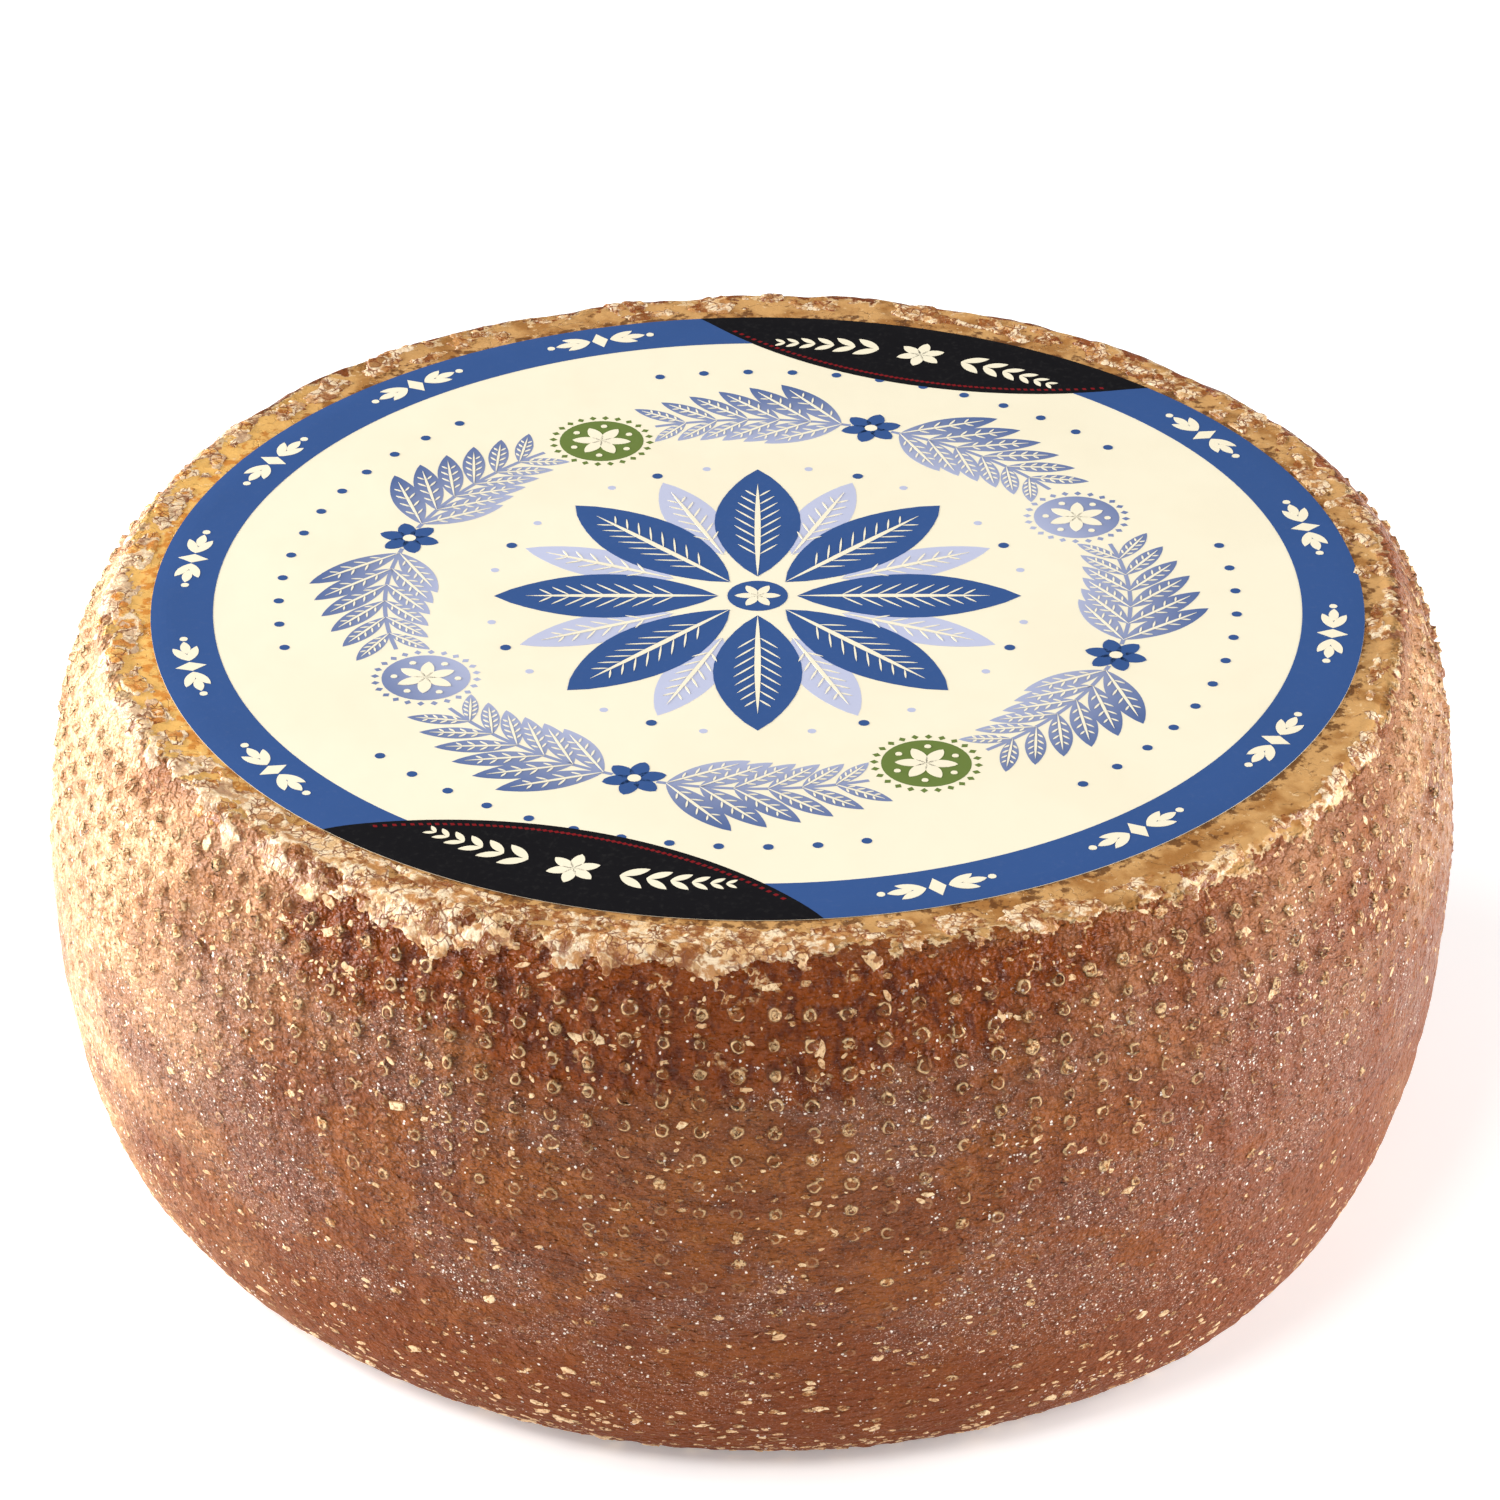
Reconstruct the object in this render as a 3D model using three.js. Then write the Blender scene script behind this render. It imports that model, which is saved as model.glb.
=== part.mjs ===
// A wheel of alpine cheese: a low drum with a bulging side, a crusted shoulder and a round paper label glued to its
// flat top. All sizes are millimetres and +Z is up. The origin is the middle of the flat base that the wheel rests on.

import * as THREE from "three";
import { mergeVertices } from "three/addons/utils/BufferGeometryUtils.js";

// The wheel's main sizes. The side is two quarter ellipses that meet at its widest line.
const MEAN_RADIUS = 150; // at the widest line
const WHEEL_HEIGHT = 125.5;
const WIDEST_HEIGHT = 70.5;
const TOP_FLAT_RADIUS = 133.3;
const BASE_FLAT_RADIUS = 121.8;

// A wheel pressed and turned by hand isn't a true circle. Each row is one way it departs from round: how many lobes
// it has, how far they stand out, and the direction in degrees that the first one faces.
const LOBES = [
  { count: 2, depth: 1.8, facing: 90 },
  { count: 3, depth: 0.75, facing: 56 },
  { count: 4, depth: 0.65, facing: 34 },
  { count: 6, depth: 0.6, facing: 18.5 },
];

// The crust stands up in a broken ridge where the top turns into the side.
const RIDGE_HEIGHT = 1.1;
const RIDGE_WIDTH = 10; // measured along the outline, from the foot on one side to the foot on the other
const RIDGE_FROM_TOP_FLAT = 3; // from the edge of the flat top down to the ridge's crest
const RIDGE_WAVES = 11; // how many sine waves break the ridge up
const RIDGE_TURNS_STEP = 3; // how many more times round each wave repeats than the one before
const RIDGE_WHOLE_SHARE = 0.55; // how whole the ridge is on average
const GOLDEN_ANGLE = Math.PI * (3 - Math.sqrt(5)); // spreads the waves' phases evenly

const LABEL_RADIUS = 126;
const LABEL_THICKNESS = 0.4;
const GLUE_GAP = 0.1;

// How finely the solids are divided.
const ROUND_STEPS = 144;
const BASE_ARC_STEPS = 8;
const TOP_ARC_STEPS = 14;
const LEDGE_STEPS = 2;
const LABEL_STEPS = 120;

const radians = (degrees) => (degrees * Math.PI) / 180;

// How far the outline lies from the middle in a direction, as a share of the mean circle's radius.
function roundness(angle) {
  const departures = LOBES.map(
    ({ count, depth, facing }) => depth * Math.cos(count * (angle - radians(facing))),
  );
  return 1 + departures.reduce((sum, departure) => sum + departure, 0) / MEAN_RADIUS;
}

// How whole the crust ridge is in a direction, from 0 to 1.
function ridgeShare(angle) {
  let sum = 0;
  for (let wave = 1; wave <= RIDGE_WAVES; wave += 1) {
    sum += Math.sin((RIDGE_TURNS_STEP * wave + 2) * angle + wave * wave * GOLDEN_ANGLE);
  }
  return THREE.MathUtils.clamp(RIDGE_WHOLE_SHARE + sum / RIDGE_WAVES, 0, 1);
}

// The crust's height over the plain outline, at a distance down the side from the edge of the flat top.
function ridgeHeight(angle, fromTopFlat) {
  const fromCrest = Math.abs(fromTopFlat - RIDGE_FROM_TOP_FLAT) / (RIDGE_WIDTH / 2);
  const section = fromCrest < 1 ? (1 - fromCrest ** 2) ** 2 : 0;
  return RIDGE_HEIGHT * ridgeShare(angle) * section;
}

// A quarter ellipse of the side. Its turn runs from 0, at the flat, to a right angle, at the widest line.
function sidePoint(flatRadius, flatHeight, turn) {
  return new THREE.Vector2(
    flatRadius + (MEAN_RADIUS - flatRadius) * Math.sin(turn),
    WIDEST_HEIGHT + (flatHeight - WIDEST_HEIGHT) * Math.cos(turn),
  );
}

// The outline from the edge of the base round the side, then over the ledge to below the label's edge.
function outline() {
  const points = [];
  for (let step = 0; step < BASE_ARC_STEPS; step += 1) {
    points.push(sidePoint(BASE_FLAT_RADIUS, 0, (Math.PI / 2) * (step / BASE_ARC_STEPS)));
  }
  for (let step = TOP_ARC_STEPS; step >= 0; step -= 1) {
    points.push(sidePoint(TOP_FLAT_RADIUS, WHEEL_HEIGHT, (Math.PI / 2) * (step / TOP_ARC_STEPS)));
  }
  for (let step = 1; step <= LEDGE_STEPS; step += 1) {
    const radius = THREE.MathUtils.lerp(TOP_FLAT_RADIUS, LABEL_RADIUS, step / LEDGE_STEPS);
    points.push(new THREE.Vector2(radius, WHEEL_HEIGHT));
  }
  return points;
}

// Each outline point's distance from the edge of the flat top, measured down the side.
function distancesFromTopFlat(points) {
  const along = [0];
  for (let i = 1; i < points.length; i += 1) {
    along.push(along[i - 1] + points[i].distanceTo(points[i - 1]));
  }
  const topFlat = along[BASE_ARC_STEPS + TOP_ARC_STEPS];
  return along.map((distance) => topFlat - distance);
}

// The outward direction at each outline point, square to the line between its neighbours.
function outwardDirections(points) {
  return points.map((point, i) => {
    const before = points[Math.max(0, i - 1)];
    const after = points[Math.min(points.length - 1, i + 1)];
    return new THREE.Vector2(after.y - before.y, before.x - after.x).normalize();
  });
}

// Rings of points up the outline, each pushed outwards by the crust there.
function ringPositions(points) {
  const directions = outwardDirections(points);
  const fromTopFlat = distancesFromTopFlat(points);
  return points.flatMap((point, ring) =>
    Array.from({ length: ROUND_STEPS }, (_, step) => {
      const angle = (2 * Math.PI * step) / ROUND_STEPS;
      const crust = ridgeHeight(angle, fromTopFlat[ring]);
      const radius = point.x * roundness(angle) + crust * directions[ring].x;
      const height = point.y + crust * directions[ring].y;
      return [radius * Math.cos(angle), radius * Math.sin(angle), height];
    }).flat(),
  );
}

// One closed body. The base and the flat under the label are closed by fans round their middles.
function wheelGeometry() {
  const points = outline();
  const positions = [...ringPositions(points), 0, 0, 0, 0, 0, WHEEL_HEIGHT];
  const baseMiddle = points.length * ROUND_STEPS;
  const topMiddle = baseMiddle + 1;
  const topRing = baseMiddle - ROUND_STEPS;

  const faces = [];
  for (let step = 0; step < ROUND_STEPS; step += 1) {
    const next = (step + 1) % ROUND_STEPS;
    for (let low = 0; low < topRing; low += ROUND_STEPS) {
      const high = low + ROUND_STEPS;
      faces.push(low + step, low + next, high + next);
      faces.push(low + step, high + next, high + step);
    }
    faces.push(baseMiddle, next, step);
    faces.push(topMiddle, topRing + step, topRing + next);
  }
  const geometry = new THREE.BufferGeometry();
  geometry.setAttribute("position", new THREE.Float32BufferAttribute(positions, 3));
  geometry.setIndex(faces);
  return mergeVertices(geometry);
}

// The whole cheese under its rind is one solid.
function cheeseWheel() {
  const rind = new THREE.MeshStandardMaterial({ color: 0x96592f, roughness: 0.6, metalness: 0 });
  const mesh = new THREE.Mesh(wheelGeometry(), rind);
  mesh.name = "cheese_wheel";
  return mesh;
}

// The label is a thin round sheet that lies on the flat top.
function paperLabel() {
  const paper = new THREE.MeshStandardMaterial({ color: 0xfdf3d7, roughness: 0.7, metalness: 0 });
  const disc = new THREE.CylinderGeometry(LABEL_RADIUS, LABEL_RADIUS, LABEL_THICKNESS, LABEL_STEPS);
  const mesh = new THREE.Mesh(disc, paper);
  mesh.name = "paper_label";
  mesh.rotation.x = Math.PI / 2;
  mesh.position.z = WHEEL_HEIGHT + GLUE_GAP + LABEL_THICKNESS / 2;
  return mesh;
}

const cheese = new THREE.Group();
cheese.add(cheeseWheel(), paperLabel());

export default cheese;
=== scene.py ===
"""A wheel of alpine cheese: a nubbed brown rind, a cracked crust round its shoulder and a printed paper label.

It is laid out as a Blender 4.5 add-on and run as a script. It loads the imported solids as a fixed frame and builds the
visible surfaces round them. Sizes are metres. The wheel stands on the floor z = 0 with its middle on the z axis.

A place on the wheel is two numbers: the angle round it, and the distance down its outline from the edge of the flat
top. That distance is negative on the flat top, and grows down the side to the edge of the flat base.
"""

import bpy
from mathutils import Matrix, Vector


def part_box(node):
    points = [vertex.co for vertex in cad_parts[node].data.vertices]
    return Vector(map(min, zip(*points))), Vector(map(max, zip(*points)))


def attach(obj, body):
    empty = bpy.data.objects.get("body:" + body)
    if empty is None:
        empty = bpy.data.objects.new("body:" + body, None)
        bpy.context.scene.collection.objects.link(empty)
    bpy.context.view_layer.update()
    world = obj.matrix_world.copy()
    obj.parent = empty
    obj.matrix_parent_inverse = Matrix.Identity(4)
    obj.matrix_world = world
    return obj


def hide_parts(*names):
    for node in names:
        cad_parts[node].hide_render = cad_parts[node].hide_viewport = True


bl_info = {
    "name": "Alpine Cheese Wheel",
    "version": (1, 0, 0),
    "blender": (4, 5, 0),
    "location": "3D View > Sidebar > Cheese",
    "description": "Builds a nubbed cheese wheel with a crusted shoulder and a printed paper label",
    "category": "Add Mesh",
}

import bpy
import numpy as np
from bpy.props import FloatProperty, FloatVectorProperty, IntProperty, PointerProperty
from mathutils import Vector

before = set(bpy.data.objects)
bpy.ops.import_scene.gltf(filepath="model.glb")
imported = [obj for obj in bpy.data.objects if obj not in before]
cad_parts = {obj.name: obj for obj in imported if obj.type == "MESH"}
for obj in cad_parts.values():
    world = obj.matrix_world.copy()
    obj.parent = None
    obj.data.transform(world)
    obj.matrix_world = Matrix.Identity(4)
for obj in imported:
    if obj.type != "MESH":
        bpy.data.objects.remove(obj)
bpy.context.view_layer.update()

MM = 0.001
TURN = 2 * np.pi
QUARTER = np.pi / 2
GOLDEN_ANGLE = np.pi * (3 - np.sqrt(5))

# The wheel's outline, as the solids have it: a flat top, two quarter ellipses that meet at the widest line, and a
# flat base.
MEAN_RADIUS = 150 * MM
WHEEL_HEIGHT = 125.5 * MM
WIDEST_HEIGHT = 70.5 * MM
TOP_FLAT_RADIUS = 133.3 * MM
BASE_FLAT_RADIUS = 121.8 * MM
ROUND_LENGTH = TURN * MEAN_RADIUS
OUTLINE_STEPS = 2000

# The ways in which the wheel departs from round: how many lobes, how far they stand out, where the first one faces.
LOBES = ((2, 1.8 * MM, 90), (3, 0.75 * MM, 56), (4, 0.65 * MM, 34), (6, 0.6 * MM, 18.5))

# The crust's broken ridge, where the top turns into the side.
RIDGE_HEIGHT = 1.1 * MM
RIDGE_WIDTH = 10 * MM
RIDGE_DOWN = 3 * MM
RIDGE_WAVES = 11
RIDGE_TURNS_STEP = 3
RIDGE_WHOLE_SHARE = 0.55

LABEL_LOW, LABEL_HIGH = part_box("paper_label")
LABEL_RADIUS = (LABEL_HIGH[0] - LABEL_LOW[0]) / 2
LABEL_UNDERSIDE = LABEL_LOW[2]
LABEL_TOP = LABEL_HIGH[2]
LABEL_EDGE_DOWN = LABEL_RADIUS - TOP_FLAT_RADIUS


# Random numbers and waves

# Odd whole numbers that mix a lattice place's indices and its seed, and the bits that are kept
MIX_COLUMN = np.uint32(374761393)
MIX_ROW = np.uint32(668265263)
MIX_SEED = 2246822519
MIX_FIRST = np.uint32(1274126177)
MIX_LAST = np.uint32(2654435761)
WORD_BITS = 0xFFFFFFFF
KEPT_BITS = 0xFFFFFF


def lattice_number(column, row, seed):
    """A number from 0 to 1 for each whole place of a lattice: the indices and the seed are mixed by multiplication
    and shifts, and the lowest bits are kept."""
    column = np.asarray(column, dtype=np.int64).astype(np.uint32)
    row = np.asarray(row, dtype=np.int64).astype(np.uint32)
    mixed = column * MIX_COLUMN + row * MIX_ROW + np.uint32((seed * MIX_SEED) & WORD_BITS)
    mixed = (mixed ^ (mixed >> np.uint32(13))) * MIX_FIRST
    mixed = (mixed ^ (mixed >> np.uint32(16))) * MIX_LAST
    return ((mixed ^ (mixed >> np.uint32(15))) & np.uint32(KEPT_BITS)) / float(KEPT_BITS)


def smooth(low, high, value):
    """0 below low, 1 above high, and between them 3 t squared less 2 t cubed."""
    share = np.clip((value - low) / (high - low), 0, 1)
    return share * share * (3 - 2 * share)


def waves(angle, down, size, seed):
    """Smooth random waves from about -1 to 1 that close on themselves round the wheel. Each lattice place has a random
    slope, and the four round a point are blended by 6 t^5 - 15 t^4 + 10 t^3. size is how far apart they stand."""
    count = max(3, int(round(ROUND_LENGTH / size[0])))
    across, along = angle / TURN * count, down / size[1]
    column, row = np.floor(across).astype(int), np.floor(along).astype(int)
    total = np.zeros(np.broadcast(across, along).shape)
    for step_across in (0, 1):
        for step_along in (0, 1):
            facing = TURN * lattice_number((column + step_across) % count, row + step_along, seed)
            from_across = across - column - step_across
            from_along = along - row - step_along
            weight = 1.0
            for share in (1 - np.abs(from_across), 1 - np.abs(from_along)):
                weight = weight * share**3 * (share * (share * 6 - 15) + 10)
            total = total + weight * (np.cos(facing) * from_across + np.sin(facing) * from_along)
    return 1.5 * total


def rough_waves(angle, down, size, seed, octaves):
    """A sum of waves, each half the size and half the strength of the one before."""
    total = 0
    for octave in range(octaves):
        share = 0.5**octave
        total = total + share * waves(angle, down, (size[0] * share, size[1] * share), seed + octave)
    return total


def scattered_cells(angle, down, size, seed):
    """A plane broken into uneven cells, one round each of the random points that stand one to a lattice place. Returns
    how far each place is from its cell's edge, which is half of what its second-nearest point is farther off than
    its nearest, and the nearest one's random number. The pattern closes round the wheel."""
    count = max(3, int(round(ROUND_LENGTH / size[0])))
    across, along = angle / TURN * count, down / size[1]
    column, row = np.floor(across).astype(int), np.floor(along).astype(int)
    nearest = np.full(across.shape, 9.0)
    second = np.full(across.shape, 9.0)
    number = np.zeros(across.shape)
    for step_across in (-1, 0, 1):
        for step_along in (-1, 0, 1):
            at_column, at_row = (column + step_across) % count, row + step_along
            point_across = column + step_across + lattice_number(at_column, at_row, seed)
            point_along = at_row + lattice_number(at_column, at_row, seed + 1)
            reach = np.hypot(across - point_across, along - point_along)
            closer = reach < nearest
            second = np.where(closer, nearest, np.minimum(second, reach))
            number = np.where(closer, lattice_number(at_column, at_row, seed + 2), number)
            nearest = np.where(closer, reach, nearest)
    return (second - nearest) / 2 * min(size), number


# The wheel's surface

def wheel_outline():
    """The outline as four lists: the distance down it, its radius, its height and the two parts of its outward
    direction. The side is two quarter ellipses, flat radius + spare radius x sine, and their slopes give the
    outward direction, square to the line of travel."""
    turn = np.linspace(0, QUARTER, OUTLINE_STEPS)
    radius = np.concatenate([
        [0],
        TOP_FLAT_RADIUS + (MEAN_RADIUS - TOP_FLAT_RADIUS) * np.sin(turn),
        BASE_FLAT_RADIUS + (MEAN_RADIUS - BASE_FLAT_RADIUS) * np.sin(turn[-2::-1]),
        [0],
    ])
    height = np.concatenate([
        [WHEEL_HEIGHT],
        WIDEST_HEIGHT + (WHEEL_HEIGHT - WIDEST_HEIGHT) * np.cos(turn),
        WIDEST_HEIGHT * (1 - np.cos(turn[-2::-1])),
        [0],
    ])
    down = np.concatenate([[0], np.cumsum(np.hypot(np.diff(radius), np.diff(height)))]) - TOP_FLAT_RADIUS
    travel = np.gradient(radius, down), np.gradient(height, down)
    length = np.hypot(*travel)
    return down, radius, height, -travel[1] / length, travel[0] / length


OUTLINE_DOWN, OUTLINE_RADIUS, OUTLINE_HEIGHT, OUTWARD_RADIUS, OUTWARD_HEIGHT = wheel_outline()
SIDE_LENGTH = OUTLINE_DOWN[-1] - BASE_FLAT_RADIUS


def roundness(angle):
    """How far the outline lies from the middle in a direction, as a share of the mean circle: 1 plus a cosine for
    each kind of lobe."""
    departures = [depth * np.cos(count * (angle - np.radians(facing))) for count, depth, facing in LOBES]
    return 1 + sum(departures) / MEAN_RADIUS


def on_wheel(angle, down, lift):
    """Points on the wheel, moved outwards by the lift: the outline turned round the z axis and pushed in and out by
    the wheel's lobes. None lies below the floor."""
    radius = np.interp(down, OUTLINE_DOWN, OUTLINE_RADIUS) * roundness(angle)
    radius = radius + lift * np.interp(down, OUTLINE_DOWN, OUTWARD_RADIUS)
    height = np.interp(down, OUTLINE_DOWN, OUTLINE_HEIGHT) + lift * np.interp(down, OUTLINE_DOWN, OUTWARD_HEIGHT)
    return np.stack([radius * np.cos(angle), radius * np.sin(angle), np.maximum(height, 0)], axis=-1)


def crust_ridge(angle, down):
    """The crust's low ridge over the shoulder: (1 - x squared) squared across it, broken up round the wheel by a sum
    of sines, as the solid has it."""
    wave = np.arange(1, RIDGE_WAVES + 1).reshape(-1, *([1] * np.ndim(angle)))
    total = np.sin((RIDGE_TURNS_STEP * wave + 2) * angle + wave * wave * GOLDEN_ANGLE).sum(axis=0)
    share = np.clip(RIDGE_WHOLE_SHARE + total / RIDGE_WAVES, 0, 1)
    section = np.clip(1 - ((down - RIDGE_DOWN) / (RIDGE_WIDTH / 2)) ** 2, 0, 1) ** 2
    return RIDGE_HEIGHT * share * section


# The moulding belt's print: rows of nubs, wound on a little askew
FIRST_ROW_DOWN = 12.2 * MM
ASKEW = 2.0 * MM
ASKEW_FACING = -QUARTER
NUB_TURN_START = np.radians(-0.8)
FULL_ROWS = 10  # rows of nubs with the finer grid
FLAT_ROWS = 11  # worn rows below them, with the coarser one
NUB_STEPS = 6  # grid steps round the wheel for each nub
FULL_STEPS = 6  # grid steps down the wheel for a nub of the upper rows
FLAT_STEPS = 4  # and for one of the worn rows
SHOULDER_STEPS = 18
BASE_EDGE_STEPS = 3
UNDER_LABEL = 1.2 * MM  # how far the ledge's grid goes in under the label
RELIEF_FADE_TOP = (-7.4 * MM, -3.5 * MM)
RELIEF_FADE_BASE = 9 * MM

# How the nubs change from the top row down: rows, and the values at them
NUB_WEAR = ([0, 3, 5, 8, 12, 20], [1, 0.95, 0.5, 0.2, 0.1, 0.12])
RIM_PALENESS_LOW = ([0, 3, 6, 9, 20], [0.5, 0.45, 0.1, 0.0, 0.0])
RIM_PALENESS_HIGH = ([0, 3, 6, 9, 14, 20], [1.0, 1.0, 0.65, 0.28, 0.2, 0.3])
RIM_FADING_ON_RIGHT = ([0, 4, 8], [0.3, 0.5, 0.75])
CAP_CHANCE = ([0, 3, 6, 10, 14, 20], [0.3, 0.25, 0.12, 0.05, 0.2, 0.85])
CAP_CHANCE_ON_RIGHT = 0.35
CAP_ROWS_ON_RIGHT = 4
CAP_FLATNESS = ([0, 8, 14, 20], [1.0, 1.0, 1.5, 1.7])
FLAKED_CHANCE = ([0, 7, 10, 15, 18, 20], [0, 0.01, 0.04, 0.12, 0.3, 0.4])
DOMED_SHARE = 0.42
NUB_SEED = 7
FLAKE_SEED = 19


def askew(angle, down):
    """How far the print has slipped down the side: a cosine with two turns, faded out at the shoulder and base."""
    held = smooth(-2 * MM, 8 * MM, down) * (1 - smooth(SIDE_LENGTH - 24 * MM, SIDE_LENGTH - 3 * MM, down))
    return ASKEW * np.cos(2 * (angle - ASKEW_FACING)) * held


def leather(angle, down):
    """The rind's unevenness: broad swells, shallow dents and creases that run round the wheel. The creases are the
    fold lines of flattened waves. It fades out at the label and at the base."""
    swells = 0.34 * MM * waves(angle, down, (36 * MM, 24 * MM), 11)
    dents = 0.22 * MM * rough_waves(angle, down, (9 * MM, 6 * MM), 12, 2)
    crease_waves = waves(angle, down + 0.4 * dents, (13 * MM, 3.4 * MM), 14)
    creases = -0.22 * MM * np.clip(1 - np.abs(crease_waves) / 0.22, 0, 1)
    fade = smooth(*RELIEF_FADE_TOP, down) * (1 - smooth(SIDE_LENGTH - RELIEF_FADE_BASE, SIDE_LENGTH, down))
    return (swells + dents + creases) * fade


class NubPrint:
    """The nubs of the belt's print: for each row and column, its centre, size, height and colour."""

    def __init__(self, nubs_round, pitch_down, radius, height):
        rng = np.random.default_rng(NUB_SEED)
        shape = (FULL_ROWS + FLAT_ROWS, nubs_round)
        row = np.arange(shape[0])[:, None] * np.ones(shape)
        self.pitch_round = ROUND_LENGTH / nubs_round
        self.pitch_down = pitch_down
        self.move_round = rng.normal(0, 0.16 * MM, shape)
        self.move_down = rng.normal(0, 0.12 * MM, shape)
        self.radius = radius * np.clip(rng.normal(1, 0.1, shape), 0.75, 1.3)
        worn = np.interp(row, *NUB_WEAR)
        self.height = height * worn * np.clip(rng.normal(1, 0.25, shape), 0.3, 1.6)
        domed = rng.random(shape) < DOMED_SHARE
        self.middle = np.where(domed, 1.15, rng.uniform(0.1, 0.7, shape))
        rim_low = np.interp(row, *RIM_PALENESS_LOW)
        rim_high = np.interp(row, *RIM_PALENESS_HIGH)
        on_right = near_angle(np.arange(nubs_round) * TURN / nubs_round, -25, 60)
        fading = np.interp(row, *RIM_FADING_ON_RIGHT) * on_right
        self.rim_paleness = rng.uniform(rim_low, rim_high) * (1 - fading)
        cap_chance = np.interp(row, *CAP_CHANCE)
        cap_chance = cap_chance + CAP_CHANCE_ON_RIGHT * on_right * (row < CAP_ROWS_ON_RIGHT)
        capped = rng.random(shape) < cap_chance
        self.cap_paleness = np.where(capped, rng.uniform(0.4, 1.0, shape), 0.15 * self.rim_paleness)
        self.cap_flatness = np.interp(row, *CAP_FLATNESS)
        self.flaked = rng.random(shape) < np.interp(row, *FLAKED_CHANCE)

    def places(self):
        """The angle and the distance down of every nub's middle."""
        row, column = np.indices(self.radius.shape)
        angle = ((column + 0.5) * self.pitch_round + self.move_round) / MEAN_RADIUS + NUB_TURN_START
        down = FIRST_ROW_DOWN + row * self.pitch_down + self.move_down
        return angle, down + askew(angle, down)


def rind_ring_places(nubs):
    """Distances down the outline of the rind's rings of points, and for each ring of faces its row of nubs, or -1."""
    first = FIRST_ROW_DOWN - nubs.pitch_down / 2
    last = first + (FULL_ROWS + FLAT_ROWS) * nubs.pitch_down
    full_end = first + FULL_ROWS * nubs.pitch_down
    under_label = LABEL_EDGE_DOWN - UNDER_LABEL
    parts = [
        [under_label - 5 * MM],
        np.linspace(under_label, first, SHOULDER_STEPS, endpoint=False),
        np.linspace(first, full_end, FULL_ROWS * FULL_STEPS, endpoint=False),
        np.linspace(full_end, last, FLAT_ROWS * FLAT_STEPS, endpoint=False),
        np.linspace(last, SIDE_LENGTH, BASE_EDGE_STEPS + 1),
    ]
    nub_row = np.concatenate([
        np.full(1 + SHOULDER_STEPS, -1),
        np.repeat(np.arange(FULL_ROWS), FULL_STEPS),
        FULL_ROWS + np.repeat(np.arange(FLAT_ROWS), FLAT_STEPS),
        np.full(BASE_EDGE_STEPS, -1),
    ])
    return np.concatenate(parts), nub_row


def shape_nub_cells(nubs, rows, steps, first_ring, across, down, lift):
    """Bends the square grid of some rows of nubs into rings round each nub, and lifts them. The eight points round a
    nub's middle go to a circle of its rim's radius, and the sixteen round those to a circle at its foot. across,
    down and lift are the whole grid's arrays, and are changed in place."""
    block = slice(first_ring, first_ring + len(rows) * steps)
    shape = (len(rows), steps, nubs.radius.shape[1], NUB_STEPS)
    step_down = (np.arange(steps) - steps // 2)[None, :, None, None]
    step_round = (np.arange(NUB_STEPS) - NUB_STEPS // 2)[None, None, None, :]
    natural_down = step_down * nubs.pitch_down / steps
    natural_round = step_round * nubs.pitch_round / NUB_STEPS
    ring = np.maximum(np.abs(step_down), np.abs(step_round))
    if steps < NUB_STEPS:
        ring = np.where(ring == 2, 3, ring)
    facing = np.arctan2(step_down, step_round)

    def of_nub(values):
        return values[rows][:, None, :, None]

    wobble = 1 + 0.1 * np.cos(2 * facing + TURN * of_nub(lattice_number(*np.indices(nubs.radius.shape), 31)))
    reach = np.select([ring == 0, ring == 1, ring == 2], [0, 1, 1.62], 0) * of_nub(nubs.radius) * wobble
    held = ring < 3
    new_round = np.where(held, of_nub(nubs.move_round) + reach * np.cos(facing), natural_round)
    new_down = np.where(held, of_nub(nubs.move_down) + reach * np.sin(facing), natural_down)
    across[block].reshape(shape)[...] += new_round - natural_round
    down[block].reshape(shape)[...] += new_down - natural_down
    chipped = 0.75 + 0.5 * lattice_number(*np.indices(across.shape), 32)[block].reshape(shape)
    profile = np.select([ring == 0, ring == 1, ring == 2], [of_nub(nubs.middle), chipped, 0.1 * chipped], 0)
    lift[block].reshape(shape)[...] += profile * of_nub(nubs.height)


def rind_surface(nubs):
    """The rind's grid: rings of points down the outline, closed round the wheel. Returns the distance round the wheel
    at its mean radius, the distance down it, the lift, and each ring of faces' row of nubs."""
    ring_down, nub_row = rind_ring_places(nubs)
    columns = nubs.radius.shape[1] * NUB_STEPS
    across = np.tile(np.arange(columns) * ROUND_LENGTH / columns, (len(ring_down), 1))
    down = np.tile(ring_down[:, None], (1, columns))
    nub_lift = np.zeros(down.shape)
    full = np.arange(FULL_ROWS)
    flat = FULL_ROWS + np.arange(FLAT_ROWS)
    first_ring = 1 + SHOULDER_STEPS
    shape_nub_cells(nubs, full, FULL_STEPS, first_ring, across, down, nub_lift)
    shape_nub_cells(nubs, flat, FLAT_STEPS, first_ring + FULL_ROWS * FULL_STEPS, across, down, nub_lift)
    angle = across / MEAN_RADIUS + NUB_TURN_START
    down = down + askew(angle, down)
    return angle, down, nub_lift, nub_row


def closed_rings(rings, columns):
    """Four-cornered faces between neighbouring rings of points. The rings run down the outside of the wheel and turn
    counter-clockwise seen from above, so the faces point outwards."""
    ring, column = np.mgrid[0 : rings - 1, 0:columns]
    following = (column + 1) % columns
    corners = [
        ring * columns + column,
        (ring + 1) * columns + column,
        (ring + 1) * columns + following,
        ring * columns + following,
    ]
    return np.stack(corners, axis=-1).reshape(-1, 4)


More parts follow.
